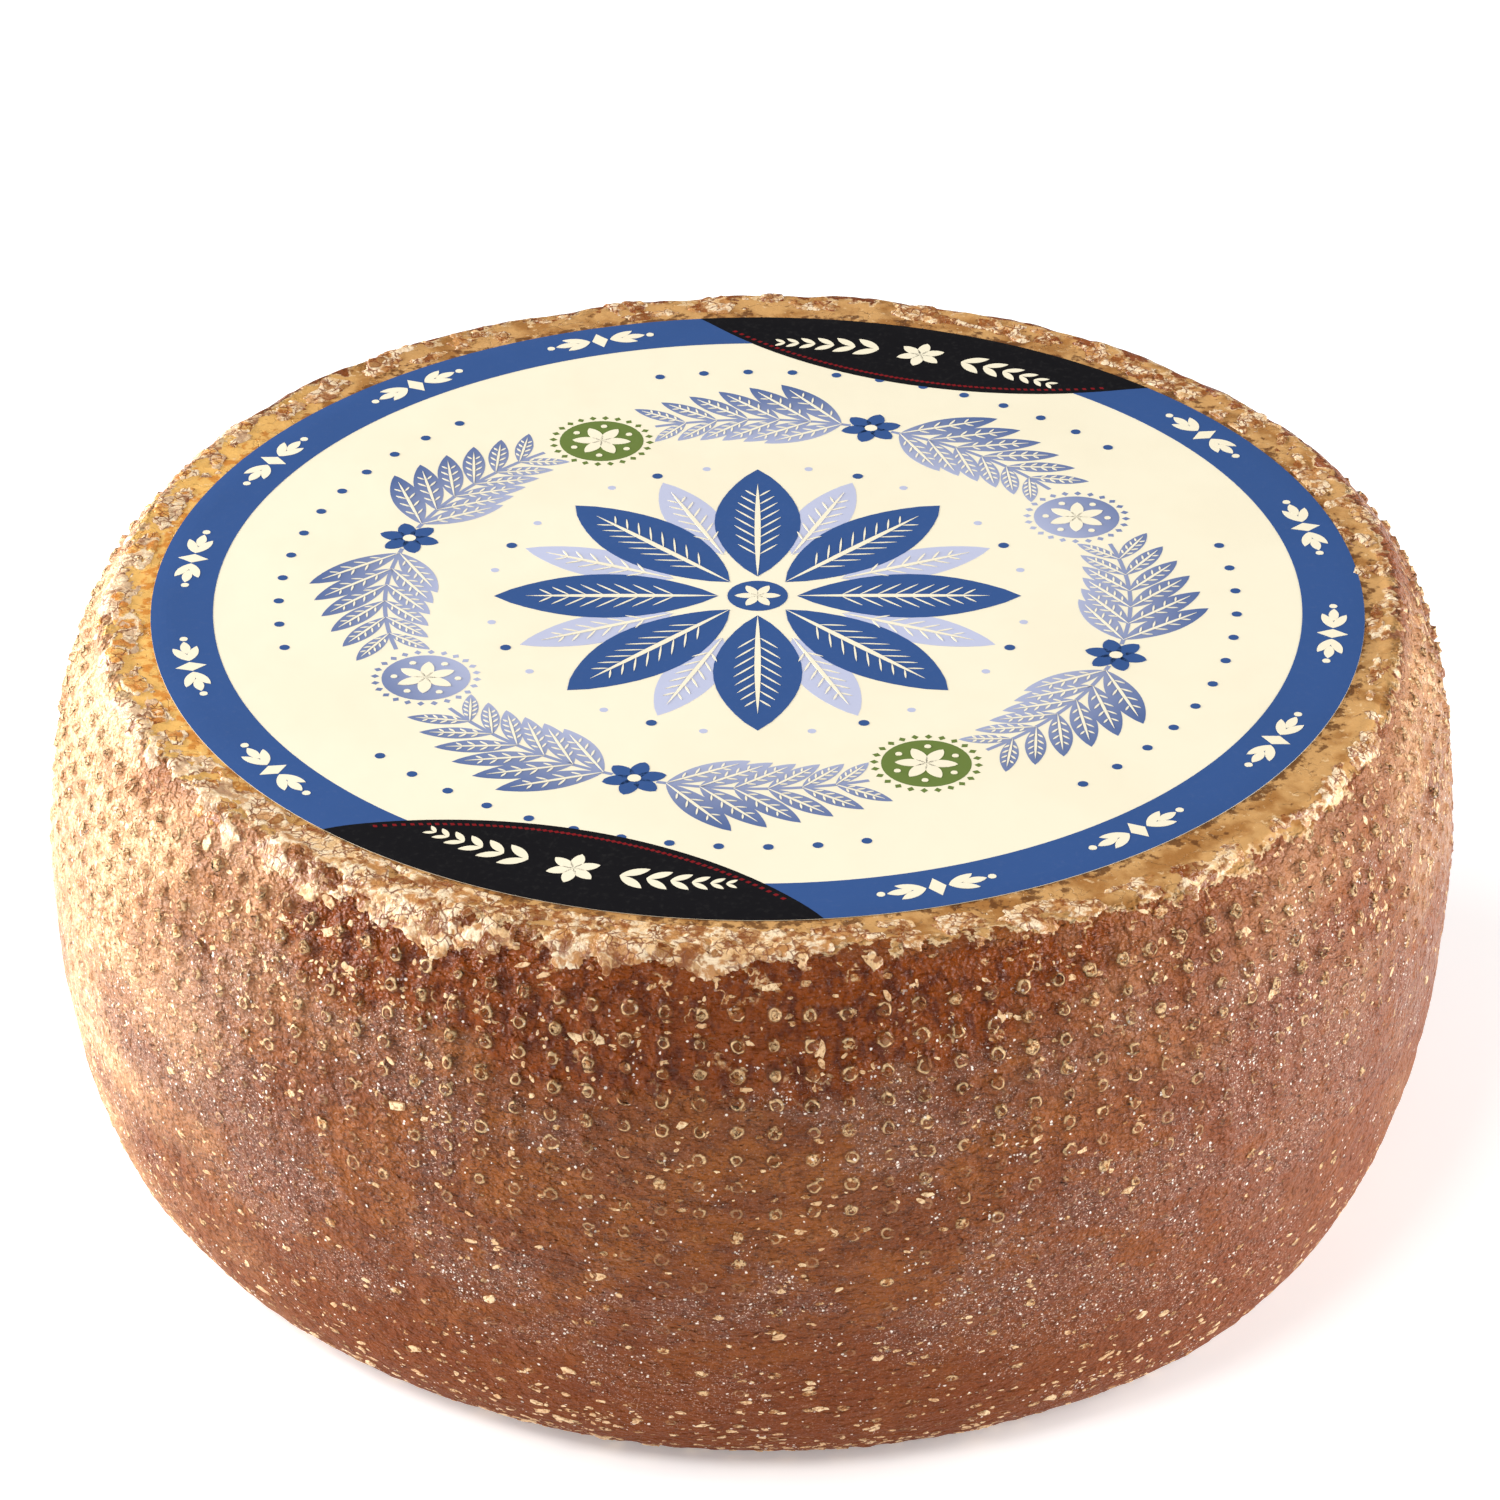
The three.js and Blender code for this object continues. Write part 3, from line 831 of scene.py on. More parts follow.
def crust_material():
    """The crust: a thin glossy film in plates of cream, tan and clear amber, with fine brown cracks between them and
    pale edges here and there, partly painted highlights. The lumps are painted whiter on top as a painted highlight and
    tan in their low places as painted shade."""
    crust = Finish("crust")
    place = crust.millimetres()
    cover = crust.attribute("cover")
    tint = crust.attribute("tint")
    jitter = crust.less(crust.noise(place, 1.3, 3.0, 0.6), 0.5)
    edge = crust.plus(crust.attribute("edge"), crust.times(jitter, 0.5))
    cloud = crust.noise(crust.wander(place, 3, 1.0), 3.0, 4.0, 0.62)
    # painted highlight and shade: the tones follow the same lump noise as the bump, whiter on the lumps' tops and tan
    # in their low places, over each plate's own tint
    own = crust.plus(tint, crust.times(crust.less(cloud, 0.5), 1.6))
    pale = crust.mix(crust.step(own, 0.15, 0.6), CRUST_TAN, CRUST_PALE)
    pale = crust.mix(crust.step(cloud, 0.45, 0.57, 0.0, 0.9), pale, CRUST_WHITE)
    amber_cloud = crust.step(crust.noise(place, 5, 4.0, 0.62), 0.5, 0.56, 0.0, 0.9)
    pale = crust.mix(amber_cloud, pale, crust.mix(crust.step(cloud, 0.42, 0.6), AMBER, HONEY))
    left = crust.step(crust.parts(place)[0], -85, -125)
    pale = crust.mix(crust.times(left, 0.45), pale, CRUST_WHITE)
    clear_level = crust.plus(own, crust.times(left, 0.3))
    clear = crust.times(crust.step(clear_level, 0.68, 0.8), crust.step(edge, 0.2, 0.45, 0.0, 0.95))
    amber_tone = crust.mix(crust.step(cloud, 0.42, 0.6), AMBER_BROWN, HONEY_DARK)
    gold_tone = crust.mix(crust.step(cloud, 0.42, 0.6), ORANGE, GOLD)
    colour = crust.mix(clear, pale, crust.mix(left, amber_tone, gold_tone))
    # a pale rim just inside each plate's edge, partly the plate's own pale lip and partly a painted highlight
    outline = crust.step(crust.math("ABSOLUTE", crust.less(edge, 0.3)), 0.2, 0.06)
    outline = crust.times(outline, crust.step(crust.noise(place, 3, 3.0, 0.6), 0.5, 0.6))
    colour = crust.mix(crust.times(outline, 0.8), colour, CRUST_WHITE)

    fine = crust.times(crust.cells(crust.wander(place, 1.6, 0.6), 2.3, "Distance", "DISTANCE_TO_EDGE"), 2.3)
    shown_lines = crust.step(crust.noise(place, 6, 2.0), 0.42, 0.54)
    line = crust.times(crust.step(fine, 0.2, 0.05, 0.0, 0.9), shown_lines)
    colour = crust.mix(line, colour, CRACK)
    crack = crust.times(crust.step(edge, 0.2, 0.04), crust.step(crust.noise(place, 6, 2.0), 0.38, 0.52))
    colour = crust.mix(crust.times(crack, 0.8), colour, CRACK)
    fringe = crust.step(crust.plus(cover, crust.times(jitter, 0.4)), 0.4, 0.5)
    colour = crust.mix(crust.opposite(fringe), colour, AMBER_BROWN)

    roughness = crust.blend(clear, crust.blend(cloud, 0.16, 0.5), 0.16)
    normal = crust.bump(cloud, 1.1)
    normal = crust.bump(crust.noise(place, 0.8, 3.0, 0.6), 0.18, normal)
    normal = crust.bump(crust.plus(line, crack), -0.07, normal)
    return crust.finish(colour, roughness, normal, 0.5)


def flake_material():
    """The loose flakes: straw to cream, each with a tint of its own, and browner at the foot and where they are
    thin."""
    flake = Finish("flakes")
    place = flake.millimetres()
    tint = flake.attribute("tint")
    bits = flake.noise(place, 0.8, 4.0, 0.68)
    colour = flake.mix(tint, BLOOM, BLOOM_PALE)
    colour = flake.mix(flake.step(bits, 0.54, 0.38, 0.0, 0.85), colour, OLIVE_STRAW)
    colour = flake.mix(flake.step(flake.attribute("top"), 0.8, 0.2, 0.0, 0.85), colour, OLIVE_STRAW)
    normal = flake.bump(bits, 0.3)
    return flake.finish(colour, flake.blend(bits, 0.3, 0.65), normal, 0.4)


def printed_material(name, colour, inner=None, reach=(0.0, 1.0), specular=0.12):
    """Paper or ink with a fine fibre in it. With an inner colour, the ink goes from that to its own colour between
    two distances from the label's middle, given as shares of its radius."""
    sheet = Finish(name)
    place = sheet.millimetres()
    if inner is not None:
        flat = sheet.add("ShaderNodeVectorMath", {"operation": "MULTIPLY"}, {0: place, 1: (1, 1, 0)})
        length = sheet.add("ShaderNodeVectorMath", {"operation": "LENGTH"}, {0: flat}, "Value")
        share = sheet.step(length, reach[0] * LABEL_RADIUS / MM, reach[1] * LABEL_RADIUS / MM)
        colour = sheet.mix(share, inner, colour)
    fibre = sheet.noise(place, 1.1, 4.0, 0.6)
    cloud = sheet.noise(place, 30, 3.0)
    colour = sheet.mix(sheet.step(cloud, 0.4, 0.65, 0.0, 0.05), colour, paint(214, 190, 150), "MULTIPLY")
    colour = sheet.mix(sheet.step(fibre, 0.5, 0.8, 0.0, 0.012), colour, paint(235, 230, 220))
    roughness = sheet.blend(fibre, 0.5, 0.7)
    normal = sheet.bump(cloud, 0.5)
    normal = sheet.bump(fibre, 0.02, normal)
    return sheet.finish(colour, roughness, normal, specular)


# The label's print

def turned(outlines, angle, x=0.0, y=0.0):
    """Copies of one outline, each turned by an angle and then moved. Returns an array of copies, points and x, y."""
    angle, x, y = np.broadcast_arrays(np.asarray(angle, float), np.asarray(x, float), np.asarray(y, float))
    cosine, sine = np.cos(angle)[..., None], np.sin(angle)[..., None]
    old_x, old_y = outlines[..., 0], outlines[..., 1]
    new_x = old_x * cosine - old_y * sine + x[..., None]
    new_y = old_x * sine + old_y * cosine + y[..., None]
    return np.stack([new_x, new_y], axis=-1)


def round_middle(outline, angle, radius, lean=0.0):
    """Copies of an outline round the label's middle, each at an angle and a radius, its x axis pointing outwards and
    then leant by an angle."""
    angle, radius, lean = np.broadcast_arrays(np.asarray(angle, float), np.asarray(radius, float), lean)
    return turned(outline, angle + lean, radius * np.cos(angle), radius * np.sin(angle))


def leaf_outline(length, width, steps=10, fullness=0.8):
    """A leaf along +x from its stem at 0, 0: its half-width is half the width times a power of the sine."""
    share = np.linspace(0, 1, steps + 1)
    half = width / 2 * np.sin(np.pi * share) ** fullness
    upper = np.stack([length * share[::-1], half[::-1]], axis=-1)
    lower = np.stack([length * share[1:-1], -half[1:-1]], axis=-1)
    return np.concatenate([upper, lower])[None]


def dot_outline(radius, steps=14):
    """A round dot about 0, 0."""
    angle = np.arange(steps) * TURN / steps
    return radius * np.stack([np.cos(angle), np.sin(angle)], axis=-1)[None]


def lozenge_outline(length, width):
    """A diamond about 0, 0, its length along x."""
    return np.array([[[length / 2, 0], [0, width / 2], [-length / 2, 0], [0, -width / 2]]])


BENT_EDGE_WIDTH = 5 * MM
BENT_EDGE_DROP = 0.27 * MM


def paper_height(x, y):
    """The height of the paper's top: nearly flat, with slow swells of a few hundredths of a millimetre. Its edge
    bends down to the rind by a square law."""
    swell = np.sin(x / (23 * MM) + 1) * np.cos(y / (19 * MM)) + np.sin((x + 2 * y) / (37 * MM))
    from_edge = (LABEL_RADIUS - np.hypot(x, y)) / BENT_EDGE_WIDTH
    return LABEL_TOP + 0.01 * MM * (swell - 2) - BENT_EDGE_DROP * np.clip(1 - from_edge, 0, 1) ** 2


# Each lot of ink plates is a step thicker than the last, and the steps start again after a cycle
LAYER_CYCLE = 9
LAYER_STEP = 0.04


class Slabs:
    """Thin closed plates of ink, gathered before they are made into one mesh."""

    def __init__(self, thickness):
        self.thickness = thickness
        self.points = []
        self.faces = []
        self.count = 0
        self.layers = 0

    def take(self, x, y, lift, faces):
        """Adds plates. Each lot is a little thicker than the last, in a cycle, so that no two that
        overlap are level."""
        self.layers = (self.layers + 1) % LAYER_CYCLE
        lift = lift * (1 + LAYER_STEP * self.layers)
        self.points.append(np.stack([x, y, paper_height(x, y) + lift], axis=-1).reshape(-1, 3))
        self.faces.append(faces + self.count)
        self.count += x.size

    def add_outlines(self, outlines):
        """Adds a plate for each outline that turns counter-clockwise: a fan of triangles from its middle over it, one
        under it, and a wall between them."""
        copies, steps = outlines.shape[:2]
        middle = outlines.mean(axis=1, keepdims=True)
        level = np.concatenate([outlines, middle], axis=1)
        both = np.stack([level, level], axis=1)
        lift = np.broadcast_to(np.array([self.thickness, -self.thickness])[None, :, None], both.shape[:3])
        here = np.arange(steps)
        following = (here + 1) % steps
        under = steps + 1
        top = np.stack([np.full(steps, steps), here, following], axis=-1)
        base = np.stack([np.full(steps, under + steps), under + following, under + here], axis=-1)
        wall_one = np.stack([here, under + here, under + following], axis=-1)
        wall_two = np.stack([here, under + following, following], axis=-1)
        faces = np.concatenate([top, base, wall_one, wall_two])
        offsets = np.arange(copies)[:, None, None] * 2 * (steps + 1)
        self.take(both[..., 0], both[..., 1], lift, (faces[None] + offsets).reshape(-1, 3))

    def add_band(self, angle, inner, outer, steps):
        """Adds a plate between two lines that are radii at each angle. It is a grid, so that it follows the paper."""
        share = np.linspace(0, 1, steps + 1)[:, None]
        radius = outer[None] * (1 - share) + inner[None] * share
        x, y = radius * np.cos(angle), radius * np.sin(angle)
        rows, columns = radius.shape
        lift = np.stack([np.full(radius.shape, self.thickness), np.full(radius.shape, -self.thickness)])
        row, column = np.mgrid[0 : rows - 1, 0 : columns - 1]
        first = (row * columns + column).ravel()
        right, below, across = first + 1, first + columns, first + columns + 1
        under = rows * columns
        top = np.concatenate([np.stack([first, right, across], -1), np.stack([first, across, below], -1)])
        base = under + top[:, ::-1]
        grid = np.arange(under).reshape(rows, columns)
        border = np.concatenate([grid[0, :-1], grid[:-1, -1], grid[-1, :0:-1], grid[:0:-1, 0]])
        following = np.roll(border, -1)
        wall = np.concatenate([
            np.stack([border, under + border, under + following], -1)[:, ::-1],
            np.stack([border, under + following, following], -1)[:, ::-1],
        ])
        faces = np.concatenate([top, base, wall])
        self.take(np.stack([x, x]), np.stack([y, y]), lift, faces)

    def mesh(self, name):
        """All the plates as one mesh."""
        faces = np.concatenate(self.faces)
        return new_mesh(name, np.concatenate(self.points), [faces], smooth_faces=False)


# The label's layout. Radii are shares of the label's.
RING_INNER = 0.8975
FIELD_ANGLES = np.radians([71.5, 251.5])
FIELD_HALF_WIDTH = np.radians(24.3)
FIELD_INNER = 0.788
RING_ORNAMENTS = 6  # on each side, between the dark fields
RING_ORNAMENT_STEP = np.radians(21.8)
STITCHES = 64
ROSETTE_PETALS = 8
WREATH_ARCS = 4
WREATH_PAIRS = 6  # pairs of leaves on each half of an arc
WREATH_LEAN = 0.86  # how far a leaf leans along its stalk
WREATH_START = np.radians(26.5)
ROUNDEL_RADIUS = 0.6


def field_inner_radius(off):
    """The dark field's inner edge: a circle that passes through the field's two tips on the label's edge and its
    innermost point, given as a radius for each angle off the field's middle."""
    tip = np.cos(FIELD_HALF_WIDTH)
    centre = (1 - FIELD_INNER**2) / (2 * (tip - FIELD_INNER))
    radius = centre - FIELD_INNER
    return centre * np.cos(off) - np.sqrt(radius**2 - (centre * np.sin(off)) ** 2)


def ring_and_fields(level):
    """The blue ring and the two dark fields on it."""
    blue, dark = Slabs(2 * level), Slabs(3 * level)
    angle = np.linspace(0, TURN, 241)
    edge = LABEL_RADIUS - 0.02 * MM
    blue.add_band(angle, np.full(angle.shape, RING_INNER * LABEL_RADIUS), np.full(angle.shape, edge), 12)
    off = np.linspace(-FIELD_HALF_WIDTH, FIELD_HALF_WIDTH, 81)
    inner = np.minimum(field_inner_radius(off) * LABEL_RADIUS, edge)
    for facing in FIELD_ANGLES:
        dark.add_band(off + facing, inner, np.full(off.shape, edge), 24)
    return blue, dark


def red_stitches(level):
    """A line of small dots along each dark field's inner edge."""
    red = Slabs(level)
    off = np.linspace(-0.86, 0.86, STITCHES) * FIELD_HALF_WIDTH
    radius = field_inner_radius(off) * LABEL_RADIUS + 2.1 * MM
    for facing in FIELD_ANGLES:
        red.add_outlines(round_middle(lozenge_outline(1.0 * MM, 1.3 * MM), off + facing, radius))
    return red


def ring_ornaments(cream):
    """Sprigs in the blue ring: a lozenge with two leaves and a dot on each side of it."""
    middle = (1 + RING_INNER) / 2 * LABEL_RADIUS
    steps = (np.arange(RING_ORNAMENTS) - (RING_ORNAMENTS - 1) / 2) * RING_ORNAMENT_STEP
    for facing in FIELD_ANGLES:
        angle = facing + QUARTER + steps
        cream.add_outlines(round_middle(lozenge_outline(6.4 * MM, 3.6 * MM), angle, middle))
        for side in (-1, 1):
            for start, length, lean in ((2.3, 6.2, 0.42), (2.3, 6.2, -0.42), (5.2, 5.0, 0.0)):
                leaf = leaf_outline(length * MM, 2.1 * MM, 8)
                at = angle + side * start * MM / middle
                cream.add_outlines(round_middle(leaf, at, middle, side * (QUARTER + lean)))
            at = angle + side * 11.4 * MM / middle
            cream.add_outlines(round_middle(dot_outline(0.85 * MM, 10), at, middle))


def field_ornaments(cream):
    """On each dark field a six-petalled flower, with leaves that get smaller on both sides of it."""
    middle = 0.9 * LABEL_RADIUS
    petal = leaf_outline(5.4 * MM, 2.6 * MM, 8, 0.7)
    for facing in FIELD_ANGLES:
        x, y = middle * np.cos(facing), middle * np.sin(facing)
        cream.add_outlines(turned(petal, facing + np.arange(6) * TURN / 6, x, y))
        for side in (-1, 1):
            for place in range(6):
                length = (6.4 - 0.75 * place) * MM
                at = facing + side * (9.5 + 5.6 * place - 0.28 * place**2) * MM / middle
                for lean in (-0.6, 0.6):
                    leaf = leaf_outline(length, 0.36 * length, 8)
                    cream.add_outlines(round_middle(leaf, at, middle, side * (QUARTER + lean)))


def veined_leaf(ink, cream, length, width, angle, radius, lean, side_veins=4):
    """Leaves round the label's middle, each with a cream midrib and slanting side veins cut into its ink."""
    ink.add_outlines(round_middle(leaf_outline(length, width, 14), angle, radius, lean))
    root = leaf_outline(0.86 * length, 0.055 * width + 0.3 * MM, 8)
    cream.add_outlines(round_middle(root, angle, radius, lean))
    for vein in range(side_veins):
        start = (0.2 + 0.62 * vein / side_veins) * length
        reach = 0.36 * width * np.sin(np.pi * min(0.95, start / length + 0.1)) + 0.4 * MM
        for side in (-1, 1):
            one = turned(leaf_outline(reach, 0.42 * MM, 6), side * 0.72, start, side * 0.35 * MM)
            cream.add_outlines(round_middle(one, angle, radius, lean))


def rosette(blue, lavender, cream):
    """The middle: eight broad blue petals with cream veins, lavender ones between them, and rings of dots."""
    unit = LABEL_RADIUS
    angle = np.arange(ROSETTE_PETALS) * TURN / ROSETTE_PETALS
    between = angle + np.pi / ROSETTE_PETALS
    veined_leaf(lavender, cream, 0.27 * unit, 0.09 * unit, between, 0.15 * unit, 0.0, 6)
    veined_leaf(blue, cream, 0.37 * unit, 0.145 * unit, angle, 0.065 * unit, 0.0, 8)
    blue.add_outlines(dot_outline(0.05 * unit, 32))
    cream.add_outlines(turned(leaf_outline(0.038 * unit, 0.016 * unit, 8, 0.7), np.arange(6) * TURN / 6))
    dots = np.arange(4 * ROSETTE_PETALS) * TURN / (4 * ROSETTE_PETALS)
    blue.add_outlines(round_middle(dot_outline(0.009 * unit, 12), dots[2::4], 0.445 * unit))
    lavender.add_outlines(round_middle(dot_outline(0.007 * unit, 12), dots[1::2], 0.445 * unit))


def wreath(lavender, blue, cream):
    """Four arcs, each with two leafy stalks that grow away from a small blue flower at its middle."""
    unit = LABEL_RADIUS
    arc = TURN / WREATH_ARCS
    for part in range(WREATH_ARCS):
        middle = WREATH_START + (part + 0.5) * arc
        stem = 0.615 * unit
        for side in (-1, 1):
            for pair in range(WREATH_PAIRS):
                angle = middle + side * (0.085 + 0.088 * pair)
                size = (1 - 0.085 * pair) * unit
                veined_leaf(lavender, cream, 0.178 * size, 0.052 * size, angle, stem, side * WREATH_LEAN)
                veined_leaf(lavender, cream, 0.15 * size, 0.046 * size, angle, stem, side * (np.pi - WREATH_LEAN))
            stalk = middle + side * np.linspace(0.06, 0.085 + 0.088 * WREATH_PAIRS, 12)
            lavender.add_band(stalk[::side], np.full(12, stem - 0.45 * MM), np.full(12, stem + 0.45 * MM), 1)
            berry = middle + side * (0.05 + 0.098 * np.arange(WREATH_PAIRS))
            blue.add_outlines(round_middle(dot_outline(0.0085 * unit, 12), berry, 0.79 * unit))
        x, y = stem * np.cos(middle), stem * np.sin(middle)
        petals = leaf_outline(0.052 * unit, 0.03 * unit, 10, 0.6)
        blue.add_outlines(turned(petals, middle + np.arange(6) * TURN / 6, x, y))
        cream.add_outlines(turned(dot_outline(0.011 * unit, 12), 0, x, y))


def roundels(ink, cream, facing):
    """Round badges between the wreath's arcs: a ring of small teeth round a plain disc with a cream flower."""
    unit = LABEL_RADIUS
    x, y = ROUNDEL_RADIUS * unit * np.cos(facing), ROUNDEL_RADIUS * unit * np.sin(facing)
    ink.add_outlines(turned(dot_outline(0.072 * unit, 40), 0, x, y))
    petal = leaf_outline(0.05 * unit, 0.022 * unit, 10, 0.7)
    dot = dot_outline(0.0055 * unit, 10)
    for at_x, at_y, turn in zip(np.atleast_1d(x), np.atleast_1d(y), np.atleast_1d(facing)):
        cream.add_outlines(turned(petal, turn + np.arange(6) * TURN / 6, at_x, at_y))
        ring = turn + np.arange(24) * TURN / 24
        tooth = lozenge_outline(0.014 * unit, 0.012 * unit)
        ring_x, ring_y = at_x + 0.083 * unit * np.cos(ring), at_y + 0.083 * unit * np.sin(ring)
        ink.add_outlines(turned(tooth, ring, ring_x, ring_y))
        half = turn + (np.arange(6) + 0.5) * TURN / 6
        cream.add_outlines(turned(dot, 0, at_x + 0.052 * unit * np.cos(half), at_y + 0.052 * unit * np.sin(half)))


# The settings that a user would change

class RindSettings(bpy.types.PropertyGroup):
    nubs_round: IntProperty(
        name="Nubs round", description="How many nubs go round the wheel", default=129, min=3
    )
    pitch_down: FloatProperty(
        name="Row pitch", description="Distance between rows of nubs", default=6 * MM, unit="LENGTH", precision=4
    )
    nub_radius: FloatProperty(
        name="Nub radius", description="Radius of a nub's rim", default=1.08 * MM, unit="LENGTH", precision=5
    )
    nub_height: FloatProperty(
        name="Nub height",
        description="Height of a nub in the top row",
        default=0.95 * MM,
        unit="LENGTH",
        precision=5,
    )


class CrustSettings(bpy.types.PropertyGroup):
    plate_round: FloatProperty(
        name="Plate length", description="A crust plate's size round the wheel", default=6.0 * MM, unit="LENGTH"
    )
    plate_down: FloatProperty(
        name="Plate width", description="A crust plate's size down the wheel", default=3.8 * MM, unit="LENGTH"
    )
    thickness: FloatProperty(
        name="Thickness",
        description="How far a crust plate stands up",
        default=0.34 * MM,
        unit="LENGTH",
        precision=5,
    )


class LabelSettings(bpy.types.PropertyGroup):
    paper: FloatVectorProperty(
        name="Paper", description="The paper's colour", default=paint(237, 228, 202), subtype="COLOR", min=0, max=1
    )
    blue: FloatVectorProperty(
        name="Blue", description="The ring's ink", default=paint(51, 82, 136), subtype="COLOR", min=0, max=1
    )
    lavender: FloatVectorProperty(
        name="Lavender", description="The palest ink", default=paint(186, 190, 214), subtype="COLOR", min=0, max=1
    )
    dark: FloatVectorProperty(
        name="Dark", description="The dark fields' ink", default=paint(19, 18, 21), subtype="COLOR", min=0, max=1
    )
    red: FloatVectorProperty(
        name="Red", description="The stitches' ink", default=paint(122, 18, 24), subtype="COLOR", min=0, max=1
    )
    green: FloatVectorProperty(
        name="Green", description="The green badges' ink", default=paint(102, 120, 58), subtype="COLOR", min=0, max=1
    )
    ink: FloatProperty(
        name="Ink", description="Thickness of one layer of ink", default=0.03 * MM, unit="LENGTH", precision=5
    )


class StageSettings(bpy.types.PropertyGroup):
    floor: FloatVectorProperty(
        name="Floor", description="The floor's colour", default=paint(250, 250, 250), subtype="COLOR", min=0, max=1
    )
    glow: FloatProperty(
        name="Glow", description="How much the floor shines, as a light table does", default=0.3, min=0
    )
    surroundings: FloatProperty(name="Surroundings", description="Brightness all round", default=0.15, min=0)
    left: FloatProperty(
        name="Left light", description="Power of the large light on the left", default=41, unit="POWER"
    )
    front: FloatProperty(
        name="Front light", description="Power of the light above the front", default=11, unit="POWER"
    )
    right: FloatProperty(
        name="Right light", description="Power of the light on the right", default=21, unit="POWER"
    )
    above: FloatProperty(name="Top light", description="Power of the light overhead", default=2, unit="POWER")


# The operators

FAR_FROM_NUB = 9.0  # millimetres, where a face has no nub


class CHEESE_OT_rind(bpy.types.Operator):
    """Makes the rind: the whole wheel's surface with its nubs"""

    bl_idname = "cheese.rind"
    bl_label = "Rind"

    def execute(self, context):
        settings = context.scene.cheese_rind
        nubs = NubPrint(settings.nubs_round, settings.pitch_down, settings.nub_radius, settings.nub_height)
        angle, down, nub_lift, nub_row = rind_surface(nubs)
        rings, columns = angle.shape
        lift = nub_lift + leather(angle, down) + crust_ridge(angle, down)
        points = on_wheel(angle, down, lift).reshape(-1, 3)
        top, base = len(points), len(points) + 1
        points = np.concatenate([points, [[0, 0, WHEEL_HEIGHT], [0, 0, 0]]])
        faces = closed_rings(rings, columns)
        fans = [
            closing_fan(0, columns, top, downwards=False),
            closing_fan((rings - 1) * columns, columns, base, downwards=True),
        ]
        mesh = new_mesh("rind", points, [faces, np.concatenate(fans)])
        self.mark_nubs(mesh, nubs, angle, down, nub_row, len(fans) * columns)
        ends = [0, 0]
        give_numbers(mesh, "down", "FLOAT", "POINT", np.append(down.ravel(), [-TOP_FLAT_RADIUS, SIDE_LENGTH]))
        ledge = (down - ledge_reach(angle)) / MM
        ledge_ends = [-TOP_FLAT_RADIUS / MM, SIDE_LENGTH / MM]
        give_numbers(mesh, "ledge", "FLOAT", "POINT", np.append(ledge.ravel(), ledge_ends))
        give_numbers(mesh, "stain", "FLOAT", "POINT", np.append(amber_stain(angle, down).ravel(), ends))
        give_numbers(mesh, "haze", "FLOAT", "POINT", np.append(dusty_haze(angle, down).ravel(), ends))
        give_numbers(mesh, "bloom_and_left_light", "FLOAT", "POINT", np.append(pale_bloom_and_left_light(angle, down).ravel(), ends))
        add_piece("rind", mesh, rind_material(), "rind", "cheese_wheel")
        return {"FINISHED"}

    @staticmethod
    def mark_nubs(mesh, nubs, angle, down, nub_row, fan_faces):
        """Gives each face the look of the nub in its cell, and each of its corners the place in millimetres from that
        nub's middle, as a UV map."""
        rings, columns = angle.shape
        column = np.arange(columns)
        nub_column = column // NUB_STEPS
        row = np.maximum(nub_row, 0)[:, None]
        has_nub = (nub_row >= 0)[:, None] & np.ones((1, columns), bool)
        middle_angle, middle_down = (values[row, nub_column] for values in nubs.places())
        wide_angle = np.concatenate([angle, angle[:, :1] + TURN], axis=1)
        wide_down = np.concatenate([down, down[:, :1]], axis=1)
        places = []
        for ring_step, column_step in ((0, 0), (1, 0), (1, 1), (0, 1)):
            rings_here = slice(ring_step, rings - 1 + ring_step)
            columns_here = slice(column_step, columns + column_step)
            across = (wide_angle[rings_here, columns_here] - middle_angle) * MEAN_RADIUS / MM
            along = (wide_down[rings_here, columns_here] - middle_down) / MM * nubs.cap_flatness[row, nub_column]
            both = [np.where(has_nub, across, FAR_FROM_NUB), np.where(has_nub, along, FAR_FROM_NUB)]
            places.append(np.stack(both, axis=-1))
        corners = np.stack(places, axis=2).reshape(-1, 2)
        fan_corners = np.full((3 * fan_faces, 2), FAR_FROM_NUB)
        layer = mesh.uv_layers.new(name="nub")
        layer.data.foreach_set("uv", np.concatenate([corners, fan_corners]).astype(np.float32).ravel())
        look = np.stack([
            nubs.radius[row, nub_column] / MM,
            nubs.rim_paleness[row, nub_column] * has_nub,
            nubs.cap_paleness[row, nub_column] * has_nub,
        ], axis=-1).reshape(-1, 3)
        look = np.concatenate([look, np.zeros((fan_faces, 3))])
        give_numbers(mesh, "nub_look", "FLOAT_VECTOR", "FACE", look)


CRUST_TOP = -6.5 * MM
CRUST_BASE = 17 * MM
CRUST_RINGS = 46
CRUST_COLUMNS = 1548
CRUST_SINK = 0.3 * MM
CRUST_DEPTH = 2.5 * MM
CRUST_HIDDEN_RINGS = 3
PLATE_SHARE = 0.45  # how much a whole plate may add to the cover or take from it


